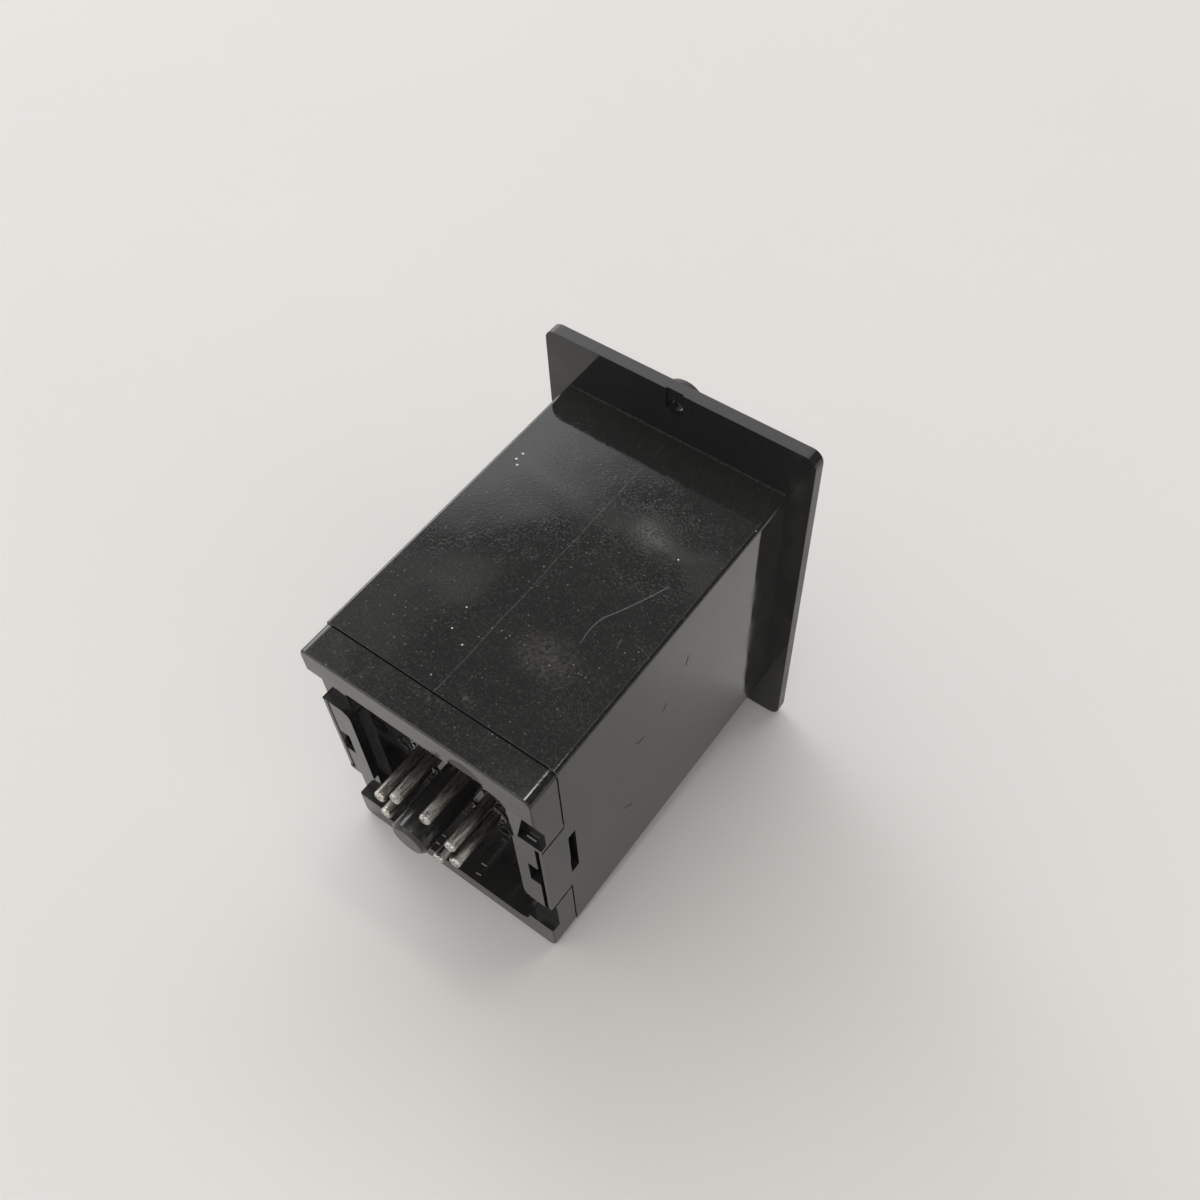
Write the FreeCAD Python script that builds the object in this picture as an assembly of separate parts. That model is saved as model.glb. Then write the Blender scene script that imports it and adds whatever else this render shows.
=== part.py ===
import FreeCAD, Part
import math
import os

# Panel-mount time delay relay with an eight-pin octal plug. All sizes are in millimetres.
# +Z is up and the front faces -Y. The origin lies on the axis of the case, in the panel
# plane, which is the back face of the bezel. The pins point along +Y.

# Case moulding, one piece with its bezel
case_width = 48.7
case_height = 60.7
case_length = 66.6
case_wall = 2.0
case_corner = 0.8
bezel_width = 57.8
bezel_height = 84.2
bezel_thick = 2.7
bezel_corner = 2.4
bezel_edge = 0.35
screw_pitch = 75.5
screw_hole_radius = 1.8
screw_pad_radius = 4.15
screw_pad_rise = 1.2
back_groove_depth = 0.35

# Snap latch: a tongue of the case, its window and the hook of the rear base
latch_offset = 1.2
tongue_height = 24.5
tongue_thick = 1.15
tongue_length = 5.9
tongue_lead = 0.4
window_height = 14.0
window_length = 2.1
window_bar = 0.4
hook_reach = 1.3
hook_flat = 0.9
hook_gap = 0.15
tongue_gap = 0.15

# Rear base
base_length = 6.6
base_corner = 1.6
seam_chamfer = 0.2
rim_chamfer = 0.3
floor_thick = 2.5
skirt_depth = 1.8
skirt_wall = 1.6
plug_gap = 0.15
side_rim = 5.75
top_rim = 5.65
bottom_rim = 4.55
pocket_corner = 2.6
ledge_width = 2.4
ledge_height = 3.0
block_offset = 0.7
block_height = 26.0
block_inset = 0.5
block_drop = 0.6
block_round = 2.2
block_slot = 0.4
pry_notch_offset = 0.35
pry_notch_height = 6.6
pry_notch_width = 2.2
pry_notch_depth = 4.0
recess_depth = 1.95
recess_slope = 5.5
left_recess_margin = 6.05
right_recess_margin = 7.65
lower_recess_margin = 7.75
lip_width_at_block = 0.8
lip_width_at_strip = 3.3
gate_mark_x = -10.8
gate_mark_radius = 3.6
gate_mark_depth = 0.35
pillar_radius = 2.2
pillar_margin = 6.35
pillar_z = 11.0

# Octal plug
pin_circle = 17.45
pin_count = 8
pin_radius = 1.18
pin_shank_radius = 1.4
pin_length = 11.9
pin_tip = 0.55
pin_fit = 0.02
collar_radius = 1.85
collar_thick = 0.35
flange_radius = 2.0
flange_thick = 0.5
tail_radius = 0.6
tail_beyond = 0.5
key_post_radius = 3.9
key_post_length = 14.3
key_post_chamfer = 0.7
key_width = 2.2
key_rise = 1.1
key_short = 1.0
key_core_radius = 2.2
key_core_cap = 2.2

# Front: dial plate, setting knob and indicator lamps
dial_margin = 2.35
dial_thick = 0.8
dial_corner = 2.0
dial_gap = 0.15
knob_z = -4.0
knob_gap = 0.6
knob_height = 13.0
knob_skirt_radius = 13.5
knob_skirt_thick = 2.6
knob_grip_radius = 9.6
knob_grip_draft = 0.5
knob_top_round = 1.0
knob_flutes = 20
knob_flute_radius = 0.75
knob_hollow_radius = 8.3
knob_hollow_depth = 3.6
pointer_width = 0.9
pointer_depth = 0.3
lamp_side = 11.0
lamp_top = 6.5
lamp_radius = 1.5
lamp_gap = 0.1
lamp_rim_radius = 1.9
lamp_rim_thick = 1.0
lamp_body_length = 2.6
lamp_proud = 0.5
lead_radius = 0.3
lead_spacing = 2.54

# Setting potentiometer
pot_radius = 8.0
pot_depth = 8.0
bushing_radius = 3.5
bushing_gap = 0.1
bushing_proud = 1.0
shaft_radius = 3.0
shaft_gap = 0.05
shaft_flat = 1.0
shaft_length = 15.0
knob_bore_gap = 0.03
washer_radius = 6.0
washer_thick = 0.5
nut_width = 10.0
nut_thick = 2.0
tag_width = 1.2
tag_thick = 0.5
tag_spacing = 5.0
tag_drop = 6.6
tag_step = 2.5

# Circuit boards and their holding pieces
board_corner = 1.0
board_thick = 1.6
board_margin = 7.95
board_side_gap = 0.2
board_front = 15.8
rail_size = 1.2
rail_reach = 1.4
rail_gap = 0.12
front_board_side = 1.85
front_board_end = 2.85
post_length = 12.0
post_radius = 3.0
post_margin_x = 5.35
post_margin_z = 5.85
post_core_depth = 8.0
board_screw_radius = 1.0
board_screw_fit = 0.05
board_screw_length = 6.0
screw_head_radius = 2.1
screw_head_thick = 1.3
screw_slot_width = 0.5
screw_slot_depth = 0.6
rear_board_side = 2.15
rear_board_end = 2.35
rear_board_gap = 2.3
tab_width = 8.0
tab_x = 9.5
tab_beyond = 0.8
tab_gap = 0.1
solder_beyond = 0.8
link_count = 4
link_pitch = 2.54
link_size = 0.64
link_height = 1.3
link_run = 2.6
hole_gap = 0.05

# Planes and centres that follow from the sizes above
inner_x = case_width / 2 - case_wall
inner_z = case_height / 2 - case_wall
front_face = -bezel_thick
dial_seat = front_face + dial_thick
dial_width = case_width - 2 * dial_margin
dial_height = case_height - 2 * dial_margin
lamp_x = dial_width / 2 - lamp_side
lamp_z = dial_height / 2 - lamp_top
screw_z = screw_pitch / 2
seam = case_length
rear_face = seam + base_length
floor_face = seam - floor_thick
tongue_end = seam + tongue_length
window_rear = seam - window_bar
window_front = window_rear - window_length
pocket_half_width = case_width / 2 - side_rim
pocket_top = case_height / 2 - top_rim
pocket_bottom = bottom_rim - case_height / 2
left_recess_top = case_height / 2 - left_recess_margin
right_recess_top = case_height / 2 - right_recess_margin
recess_bottom = lower_recess_margin - case_height / 2
pillar_x = inner_x - pillar_margin
post_x = inner_x - post_margin_x
post_z = inner_z - post_margin_z
front_board_width = 2 * (inner_x - front_board_side)
front_board_height = 2 * (inner_z - front_board_end)
front_board_front = post_length
front_board_rear = post_length + board_thick
rear_board_width = 2 * (inner_x - rear_board_side)
rear_board_height = 2 * (inner_z - rear_board_end)
rear_board_rear = floor_face - rear_board_gap
rear_board_front = rear_board_rear - board_thick
board_half_width = inner_x - board_side_gap
board_level = inner_z - board_margin
board_outer = board_level + board_thick
board_floor = -board_level

# The pieces on the boards keep their share of the room between the walls.
# Their sizes below are for a room of this half width, length and level.
drawn_room = (22.15, 44.4, 20.4)
wide = board_half_width / drawn_room[0]
long = (rear_board_front - board_front) / drawn_room[1]
tall = board_level / drawn_room[2]

# Output relay. Its length runs along Y and its height along Z.
relay_margin = 2.2
relay_y = board_front + 23.7 * long
relay_base_width = 21.4 * wide
relay_base_front = 19.4 * long
relay_base_rear = 14.6 * long
relay_base_thick = 3.0
cover_wall = 0.8
cover_headroom = 1.3
cover_gap = 0.05
cover_foot = 0.3
yoke_thick = 1.5
yoke_width = 13.0 * wide
yoke_reach = 11.0 * long
yoke_front = 8.0 * long
core_radius = 3.2 * long
core_tail_radius = 2.0 * long
pole_radius = 5.0 * long
pole_thick = 1.0
coil_height = 16.0 * tall
bobbin_fit = 0.05
bobbin_wall = 0.9
bobbin_flange_radius = 8.0 * long
bobbin_flange_thick = 0.9
winding_radius = 7.4 * long
armature_thick = 1.4
armature_width = 12.0 * wide
armature_front = 6.4 * long
armature_heel = 1.4
armature_corner = 1.5
armature_gap = 0.18
hinge_inset = 0.5
armature_angle = 4.5
carrier_length = 3.6 * long
carrier_width = 15.0 * wide
carrier_rise = 2.6
carrier_lip = 0.9
carrier_chamfer = 0.4
spring_thick = 0.3
spring_width = 3.0
spring_spacing = 10.4 * wide
spring_level = 1.5
spring_front = 15.2 * long
spring_rear = 2.0 * long
contact_radius = 1.2
contact_thick = 0.8
contact_neck = 0.7
contact_y = 13.6 * long
contact_gap = 0.25
contact_border = 0.3
terminal_thick = 0.7
terminal_width = 2.4
terminal_seat = 1.0
closed_terminal_y = 17.6 * long
terminal_below = 3.2
coil_pin_above = 2.0
hinge_spring_thick = 0.4
hinge_spring_width = 6.0
hinge_spring_reach = 4.5
hinge_spring_foot = 1.6
hinge_spring_bend = 0.4
hinge_spring_over = 1.0
hinge_spring_slope = 0.15
hinge_spring_gap = 0.2

# Components of the lower and the upper board
smoothing_x = 11.5 * wide
smoothing_y = board_front + 9.2 * long
smoothing_radius = 6.3 * min(wide, long)
smoothing_height = 21.0 * tall
smoothing_groove = 0.35
smoothing_groove_height = 2.2
can_edge = 0.5
supply_x = 9.6 * wide
supply_y = board_front + 30.2 * long
supply_length = 22.0 * long
supply_width = 8.4 * wide
supply_height = 16.0 * tall
supply_round = 0.8
lead_inset = 1.8
lead_bend = 2.0
diode_radius = 1.35
diode_length = 5.2
diode_lift = 2.0
diode_lead_radius = 0.4
diode_lead_span = 7.6
diode_x = 16.0 * wide
diode_y = board_front + 25.2 * long
diode_step_x = 3.1 * wide
diode_step_y = 10.5 * long
chip_x = -7.4 * wide
chip_y = board_front + 22.2 * long
chip_length = 19.0
chip_width = 6.4
chip_height = 3.2
chip_draft = 0.3
chip_stand = 0.5
chip_legs = 7
chip_leg_pitch = 2.54
chip_leg_width = 0.5
chip_leg_thick = 0.3
chip_row = 7.62
chip_notch_radius = 1.0
chip_notch_depth = 0.4
timing_x = 8.9 * wide
timing_y = board_front + 10.2 * long
timing_length = 13.0 * long
timing_width = 5.4 * wide
timing_height = 5.2
resistor_radius = 1.1
resistor_length = 6.2
resistor_lift = 1.3
resistor_lead_radius = 0.3
resistor_lead_span = 9.2
resistor_x = 8.9 * wide
resistor_y = board_front + 28.0 * long
resistor_pitch = 3.6 * wide
resistor_count = 6
transistor_x = -16.0 * wide
transistor_y = board_front + 6.0 * long
transistor_radius = 2.3
transistor_height = 4.4
transistor_stand = 0.6
transistor_flat = 1.3
transistor_leg = 0.45
transistor_pitch = 1.27

# Levels of the relay that follow from its sizes
relay_x = relay_margin + relay_base_width / 2 + cover_gap + cover_wall - board_half_width
yoke_level = board_floor + relay_base_thick
coil_seat = yoke_level + yoke_thick
pole_seat = coil_seat + coil_height
pole_face = pole_seat + pole_thick
armature_level = pole_face + armature_gap
hinge_y = relay_y + yoke_reach - hinge_inset
hinge_z = armature_level
spring_base = armature_level + armature_thick + spring_level
contact_arm = hinge_y - (relay_y - contact_y)
contact_lift = contact_arm * math.sin(math.radians(armature_angle))
contact_tilt = contact_radius * math.sin(math.radians(armature_angle))
open_contact_level = spring_base - contact_thick - contact_gap
closed_contact_level = spring_base + spring_thick + contact_thick + contact_lift + contact_gap + contact_tilt
cover_top = closed_contact_level + contact_thick + terminal_thick + cover_headroom + cover_wall

V = FreeCAD.Vector
along_y = V(0, 1, 0)


def box(x0, x1, y0, y1, z0, z1):
    return Part.makeBox(x1 - x0, y1 - y0, z1 - z0, V(x0, y0, z0))


def rod(radius, y0, y1, x=0.0, z=0.0):
    return Part.makeCylinder(radius, y1 - y0, V(x, y0, z), along_y)


def post(radius, z0, z1, x=0.0, y=0.0):
    return Part.makeCylinder(radius, z1 - z0, V(x, y, z0))


def slab(x0, x1, z0, z1, corner, y0, y1):
    # A block along Y whose four long edges are rounded
    solid = box(x0, x1, y0, y1, z0, z1)
    edges = [edge for edge in solid.Edges if abs(edge.tangentAt(edge.FirstParameter).y) > 0.9]
    return solid.makeFillet(corner, edges)


def centred_slab(width, height, corner, y0, y1):
    return slab(-width / 2, width / 2, -height / 2, height / 2, corner, y0, y1)


def prism_x(points, x0, x1):
    # points are (y, z)
    wire = Part.makePolygon([V(x0, y, z) for y, z in points + points[:1]])
    return Part.Face(wire).extrude(V(x1 - x0, 0, 0))


def prism_y(points, y0, y1):
    # points are (x, z)
    wire = Part.makePolygon([V(x, y0, z) for x, z in points + points[:1]])
    return Part.Face(wire).extrude(V(0, y1 - y0, 0))


def prism_z(points, z0, z1):
    # points are (x, y)
    wire = Part.makePolygon([V(x, y, z0) for x, y in points + points[:1]])
    return Part.Face(wire).extrude(V(0, 0, z1 - z0))


def turned(points, x=0.0, z=0.0):
    # points are (radius, y), turned about an axis along Y
    wire = Part.makePolygon([V(radius, y, 0) for radius, y in points + points[:1]])
    solid = Part.Face(wire).revolve(V(0, 0, 0), along_y, 360)
    solid.translate(V(x, 0, z))
    return solid


def half_turn(shape):
    # The second latch is the first one turned half round the case axis
    copy = shape.copy()
    copy.rotate(V(0, 0, 0), along_y, 180)
    return copy


def both_latches(shapes):
    return shapes + [half_turn(shape) for shape in shapes]


def edges_at(solid, axis, value):
    found = []
    for edge in solid.Edges:
        low = getattr(edge.BoundBox, axis + "Min")
        high = getattr(edge.BoundBox, axis + "Max")
        if abs(low - value) < 0.001 and abs(high - value) < 0.001:
            found.append(edge)
    return found


def bezel():
    plate = centred_slab(bezel_width, bezel_height, bezel_corner, front_face, 0)
    plate = plate.makeFillet(bezel_edge, edges_at(plate, "Y", front_face))
    pads = []
    for side in (-1, 1):
        pad = rod(screw_pad_radius, front_face - screw_pad_rise, front_face, 0, side * screw_z)
        pads.append(pad.makeChamfer(bezel_edge, edges_at(pad, "Y", front_face - screw_pad_rise)))
    return plate.fuse(pads)


def bezel_cuts():
    cuts = [
        centred_slab(
            dial_width + 2 * dial_gap,
            dial_height + 2 * dial_gap,
            dial_corner,
            front_face - 1,
            dial_seat,
        ),
        rod(bushing_radius + bushing_gap, front_face - 1, 1, 0, knob_z),
    ]
    for side in (-1, 1):
        cuts.append(rod(lamp_radius + lamp_gap, front_face - 1, 1, side * lamp_x, lamp_z))
        cuts.append(rod(screw_hole_radius, front_face - screw_pad_rise - 1, 1, 0, side * screw_z))
        ends = sorted((side * screw_z, side * (bezel_height / 2 + 1)))
        cuts.append(
            box(-screw_hole_radius, screw_hole_radius, -back_groove_depth, 1, ends[0], ends[1])
        )
    return cuts


def tongue():
    outer = case_width / 2
    inner = outer - tongue_thick
    profile = [
        (outer, seam - window_bar),
        (outer, tongue_end),
        (inner + tongue_lead, tongue_end),
        (inner, tongue_end - 2 * tongue_lead),
        (inner, seam - window_bar),
    ]
    low = latch_offset - tongue_height / 2
    return prism_z(profile, low, low + tongue_height)


def latch_window():
    low = latch_offset - window_height / 2
    return box(inner_x - 1, case_width / 2 + 1, window_front, window_rear, low, low + window_height)


def board_rails():
    # Two ribs hold each edge of the upper and the lower board
    rails = []
    rail_end = rear_board_front
    for side in (-1, 1):
        for level in (-1, 1):
            for z in (board_level - rail_gap - rail_size, board_outer + rail_gap):
                xs = sorted((side * (inner_x - rail_reach), side * (inner_x + 0.5)))
                zs = sorted((level * z, level * (z + rail_size)))
                rails.append(box(xs[0], xs[1], board_front, rail_end, zs[0], zs[1]))
    return rails


def board_posts():
    return [rod(post_radius, -0.5, post_length, x * post_x, z * post_z) for x in (-1, 1) for z in (-1, 1)]


def post_cores(radius, y0, y1):
    return [rod(radius, y0, y1, x * post_x, z * post_z) for x in (-1, 1) for z in (-1, 1)]


def case_shell():
    tube = centred_slab(case_width, case_height, case_corner, -0.5, case_length)
    tube = tube.makeChamfer(seam_chamfer, edges_at(tube, "Y", case_length))
    hollow = box(-inner_x, inner_x, 0, case_length + 1, -inner_z, inner_z)
    shell = bezel().fuse([tube]).cut(hollow)
    shell = shell.fuse(both_latches([tongue()]) + board_rails() + board_posts())
    cuts = bezel_cuts() + both_latches([latch_window()])
    cuts += post_cores(board_screw_radius + board_screw_fit, post_length - post_core_depth, post_length + 1)
    return shell.cut(cuts).removeSplitter()


def base_pocket():
    # The side walls of the pocket carry a ledge above the floor
    upper = slab(
        -pocket_half_width,
        pocket_half_width,
        pocket_bottom,
        pocket_top,
        pocket_corner,
        seam + ledge_height,
        rear_face + 1,
    )
    low_half = pocket_half_width - ledge_width
    lower = slab(-low_half, low_half, pocket_bottom, pocket_top, pocket_corner, seam, rear_face)
    return upper.fuse(lower)


def side_block():
    # The wall behind each tongue bulges a little into the pocket, with rounded corners
    low = block_offset - block_height / 2
    block = slab(
        pocket_half_width - block_inset,
        case_width / 2 + 2 * block_round,
        low,
        low + block_height,
        block_round,
        seam,
        rear_face - block_drop,
    )
    return block.common(box(0, case_width / 2, seam, rear_face, low, low + block_height))


def finger_recess(side, z_block, z_strip, slope, lip_at_block, lip_at_strip):
    # A step in the rim beside a block, open to the side and to the rear
    bottom = rear_face - recess_depth
    outside = case_width / 2 + 1
    upward = 1 if z_strip > z_block else -1
    z_start = z_block - upward * block_round
    plan = [
        (side * outside, z_start),
        (side * (pocket_half_width + lip_at_block), z_start),
        (side * (pocket_half_width + lip_at_block), z_block),
        (side * (pocket_half_width + lip_at_strip), z_strip),
        (side * outside, z_strip),
    ]
    section = [
        (rear_face + 1, z_start),
        (bottom, z_start),
        (bottom, z_strip - upward * slope),
        (rear_face, z_strip + upward * 0.001),
        (rear_face + 1, z_strip + upward * 0.001),
    ]
    cutter = prism_x(section, -outside, outside)
    return prism_y(plan, bottom - 1, rear_face + 1).common(cutter)


def finger_recesses():
    half = block_height / 2
    return [
        finger_recess(1, block_offset + half, left_recess_top, recess_slope, -1, -1),
        finger_recess(1, block_offset - half, recess_bottom, 0, -1, -1),
        finger_recess(-1, half - block_offset, right_recess_top, recess_slope, lip_width_at_block, lip_width_at_strip),
        finger_recess(-1, -half - block_offset, recess_bottom, 0, -1, -1),
    ]


def lip_slope():
    # The lip beside the upper right recess falls from the strip to the block
    z_block = block_height / 2 - block_offset
    section = [
        (rear_face, right_recess_top),
        (rear_face + 1, right_recess_top),
        (rear_face + 1, z_block - block_round),
        (rear_face - block_drop, z_block - block_round),
        (rear_face - block_drop, z_block),
    ]
    return prism_x(section, -case_width / 2 - 1, 1 - pocket_half_width)


def latch_cuts():
    inside = case_width / 2 - tongue_thick - block_slot
    outside = case_width / 2 + 1
    half_tongue = tongue_height / 2 + tongue_gap
    half_block = block_height / 2
    half_notch = pry_notch_height / 2
    block_top = rear_face - block_drop
    return [
        box(inside, outside, seam - 1, rear_face + 1, latch_offset - half_tongue, latch_offset + half_tongue),
        box(0, outside, block_top, rear_face + 1, block_offset - half_block, block_offset + half_block),
        box(
            inside - pry_notch_width,
            outside,
            block_top - pry_notch_depth,
            rear_face + 1,
            pry_notch_offset - half_notch,
            pry_notch_offset + half_notch,
        ),
    ]


def hook():
    root = inner_x - plug_gap
    tip = root + hook_reach
    rear = window_rear - hook_gap
    front = window_front + hook_gap
    profile = [
        (root - 1, front),
        (root, front),
        (tip, rear - hook_flat),
        (tip, rear),
        (root - 1, rear),
    ]
    low = latch_offset - window_height / 2 + hook_gap
    return prism_z(profile, low, low + window_height - 2 * hook_gap)


def pin_places():
    # Pin 1 comes first clockwise from the key, seen from the pin side
    places = []
    for number in range(pin_count):
        angle = 2 * math.pi * (number + 0.5) / pin_count
        places.append((pin_circle / 2 * math.sin(angle), -pin_circle / 2 * math.cos(angle)))
    return places


def key_post():
    end = seam + key_post_length
    column = rod(key_post_radius, floor_face, end)
    column = column.makeChamfer(key_post_chamfer, edges_at(column, "Y", end))
    key = box(
        -key_width / 2,
        key_width / 2,
        seam - 1,
        end - key_short,
        -key_post_radius - key_rise,
        -key_post_radius / 2,
    )
    core = rod(key_core_radius, floor_face - 1, end - key_core_cap)
    return column.fuse(key), core


def rear_base():
    plug_x = inner_x - plug_gap
    plug_z = inner_z - plug_gap
    flange = centred_slab(case_width, case_height, base_corner, seam, rear_face)
    flange = flange.makeChamfer(seam_chamfer, edges_at(flange, "Y", seam))
    flange = flange.makeChamfer(rim_chamfer, edges_at(flange, "Y", rear_face))
    plug = box(-plug_x, plug_x, floor_face - skirt_depth, seam, -plug_z, plug_z)
    hollow = box(
        skirt_wall - plug_x,
        plug_x - skirt_wall,
        floor_face - skirt_depth - 1,
        floor_face,
        skirt_wall - plug_z,
        plug_z - skirt_wall,
    )
    body = flange.fuse([plug]).cut(hollow)
    body = body.cut([base_pocket(), lip_slope()] + finger_recesses())
    body = body.fuse(both_latches([side_block()]))
    body = body.cut(both_latches(latch_cuts()))
    column, core = key_post()
    pillars = []
    for x in (-pillar_x, pillar_x):
        for z in (-pillar_z, pillar_z):
            pillars.append(rod(pillar_radius, rear_board_rear, floor_face + 0.5, x, z))
    body = body.fuse([column] + both_latches([hook()]) + pillars)
    holes = [rod(pin_shank_radius + pin_fit, floor_face - 1, seam + 1, x, z) for x, z in pin_places()]
    mark = rod(gate_mark_radius, rear_face - gate_mark_depth, rear_face + 1, gate_mark_x, pocket_top)
    return body.cut(holes + [core, mark]).removeSplitter()


def plug_pin(x, z):
    # Tail for the board, flange inside the floor, staked collar outside and a rounded tip
    tip = seam + pin_length
    profile = [
        (0, rear_board_front - tail_beyond),
        (tail_radius, rear_board_front - tail_beyond),
        (tail_radius, floor_face - flange_thick),
        (flange_radius, floor_face - flange_thick),
        (flange_radius, floor_face),
        (pin_shank_radius, floor_face),
        (pin_shank_radius, seam),
        (collar_radius, seam),
        (collar_radius, seam + collar_thick / 2),
        (pin_radius + collar_thick / 2, seam + collar_thick),
        (pin_radius, seam + collar_thick),
        (pin_radius, tip - pin_tip),
        (pin_radius * 0.86, tip - pin_tip * 0.4),
        (pin_radius * 0.55, tip),
        (0, tip),
    ]
    return turned(profile, x, z)


def dial_plate():
    plate = centred_slab(dial_width, dial_height, dial_corner, front_face, dial_seat)
    holes = [rod(bushing_radius + bushing_gap, front_face - 1, dial_seat + 1, 0, knob_z)]
    for side in (-1, 1):
        holes.append(rod(lamp_radius + lamp_gap, front_face - 1, dial_seat + 1, side * lamp_x, lamp_z))
    return plate.cut(holes)


def d_bar(radius, flat, y0, y1):
    bar = rod(radius, y0, y1, 0, knob_z)
    side = box(-radius - 1, radius + 1, y0 - 1, y1 + 1, knob_z - radius - 1, knob_z - radius + flat)
    return bar.cut(side)


def setting_knob():
    rear = front_face - knob_gap
    top = rear - knob_height
    skirt_top = rear - knob_skirt_thick
    grip_top = knob_grip_radius - knob_grip_draft
    blank = turned(
        [
            (0, rear),
            (knob_skirt_radius, rear),
            (knob_skirt_radius, rear - knob_skirt_thick * 0.4),
            (knob_grip_radius + 0.8, skirt_top),
            (knob_grip_radius, skirt_top),
            (grip_top, top + knob_top_round),
            (grip_top - 0.3 * knob_top_round, top + 0.3 * knob_top_round),
            (grip_top - knob_top_round, top),
            (0, top),
        ],
        0,
        knob_z,
    )
    cuts = [rod(knob_hollow_radius, rear - knob_hollow_depth, rear + 1, 0, knob_z)]
    shaft_end = front_face - shaft_length + dial_thick
    cuts.append(d_bar(shaft_radius + knob_bore_gap, shaft_flat, shaft_end - 0.3, rear))
    for number in range(knob_flutes):
        angle = 2 * math.pi * (number + 0.5) / knob_flutes
        x = (knob_grip_radius + knob_flute_radius * 0.4) * math.sin(angle)
        z = knob_z + (knob_grip_radius + knob_flute_radius * 0.4) * math.cos(angle)
        cuts.append(rod(knob_flute_radius, top - 1, skirt_top + 0.2, x, z))
    cuts.append(
        box(
            -pointer_width / 2,
            pointer_width / 2,
            top - 1,
            top + pointer_depth,
            knob_z + shaft_radius,
            knob_z + knob_grip_radius + 1,
        )
    )
    return blank.cut(cuts)


def pot_body():
    can = rod(pot_radius, 0, pot_depth, 0, knob_z)
    can = can.makeFillet(0.8, edges_at(can, "Y", pot_depth))
    nose = front_face - washer_thick - nut_thick - bushing_proud
    bushing = rod(bushing_radius, nose, 1, 0, knob_z)
    bore = rod(shaft_radius + shaft_gap, nose - 1, pot_depth / 2, 0, knob_z)
    return can.fuse(bushing).cut(bore)


def pot_shaft():
    end = front_face - shaft_length + dial_thick
    nose = front_face - washer_thick - nut_thick - bushing_proud
    round_part = rod(shaft_radius, nose - 0.2, pot_depth / 2 - 0.1, 0, knob_z)
    return round_part.fuse(d_bar(shaft_radius, shaft_flat, end, nose)).removeSplitter()


def pot_washer():
    ring = rod(washer_radius, front_face - washer_thick, front_face, 0, knob_z)
    return ring.cut(rod(bushing_radius + hole_gap, front_face - washer_thick - 1, 1, 0, knob_z))


def pot_nut():
    face = front_face - washer_thick
    corner = nut_width / 2 / math.cos(math.radians(30))
    points = []
    for number in range(6):
        angle = math.radians(60 * number)
        points.append((corner * math.cos(angle), knob_z + corner * math.sin(angle)))
    hexagon = prism_y(points, face - nut_thick, face)
    return hexagon.cut(rod(bushing_radius + hole_gap, face - nut_thick - 1, 1, 0, knob_z))


def pot_tags():
    # Three flat tags leave the can and pass through the front board
    tags = []
    for number in (-1, 0, 1):
        x = number * tag_spacing
        z = knob_z - tag_drop
        tags.append(
            box(
                x - tag_width / 2,
                x + tag_width / 2,
                pot_depth,
                front_board_rear + solder_beyond,
                z + abs(number) * tag_step,
                z + abs(number) * tag_step + tag_thick,
            )
        )
    return tags


def lamp(side):
    x = side * lamp_x
    nose = front_face - lamp_proud
    body = turned(
        [
            (0, nose),
            (lamp_radius * 0.5, nose + lamp_radius * 0.14),
            (lamp_radius * 0.87, nose + lamp_radius * 0.5),
            (lamp_radius, nose + lamp_radius),
            (lamp_radius, 0),
            (lamp_rim_radius, 0),
            (lamp_rim_radius, lamp_rim_thick),
            (lamp_radius, lamp_rim_thick),
            (lamp_radius, lamp_body_length),
            (0, lamp_body_length),
        ],
        x,
        lamp_z,
    )
    leads = []
    for end in (-0.5, 0.5):
        lead_x = x + end * lead_spacing * 0.6
        leads.append(
            rod(lead_radius, lamp_body_length - 0.5, front_board_rear + solder_beyond, lead_x, lamp_z)
        )
    return body.fuse(leads)


def link_places():
    return [(number - (link_count - 1) / 2) * link_pitch for number in range(link_count)]


def front_board():
    board = centred_slab(front_board_width, front_board_height, board_corner, front_board_front, front_board_rear)
    holes = post_cores(board_screw_radius + 0.2, front_board_front - 1, front_board_rear + 1)
    for side in (-1, 1):
        for end in (-0.5, 0.5):
            x = side * lamp_x + end * lead_spacing * 0.6
            holes.append(rod(lead_radius + hole_gap, front_board_front - 1, front_board_rear + 1, x, lamp_z))
        for x in link_places():
            half = link_size / 2 + hole_gap
            z = side * (board_level - link_height)
            holes.append(box(x - half, x + half, front_board_front - 1, front_board_rear + 1, z - half, z + half))
    for tag in pot_tags():
        bounds = tag.BoundBox
        holes.append(
            box(
                bounds.XMin - hole_gap,
                bounds.XMax + hole_gap,
                front_board_front - 1,
                front_board_rear + 1,
                bounds.ZMin - hole_gap,
                bounds.ZMax + hole_gap,
            )
        )
    return board.cut(holes)


def board_screws():
    screws = []
    for x in (-post_x, post_x):
        for z in (-post_z, post_z):
            head_end = front_board_rear + screw_head_thick
            shank = rod(board_screw_radius, front_board_rear - board_thick - board_screw_length, head_end, x, z)
            head = rod(screw_head_radius, front_board_rear, head_end, x, z)
            head = head.makeFillet(screw_head_thick * 0.4, edges_at(head, "Y", head_end))
            slot = box(
                x - screw_head_radius,
                x + screw_head_radius,
                head_end - screw_slot_depth,
                head_end + 1,
                z - screw_slot_width / 2,
                z + screw_slot_width / 2,
            )
            screws.append(head.fuse(shank).cut(slot).removeSplitter())
    return screws


def link_pins():
    # Right-angle pins join the front board to the lower and the upper board
    pins = []
    half = link_size / 2
    for level in (-1, 1):
        for x in link_places():
            z = level * (board_level - link_height)
            corner = board_front + link_run
            flat = box(x - half, x + half, front_board_front - solder_beyond, corner + half, z - half, z + half)
            zs = sorted((z, level * (board_outer + solder_beyond)))
            down = box(x - half, x + half, corner - half, corner + half, zs[0], zs[1])
            pins.append(flat.fuse(down).removeSplitter())
    return pins


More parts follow.
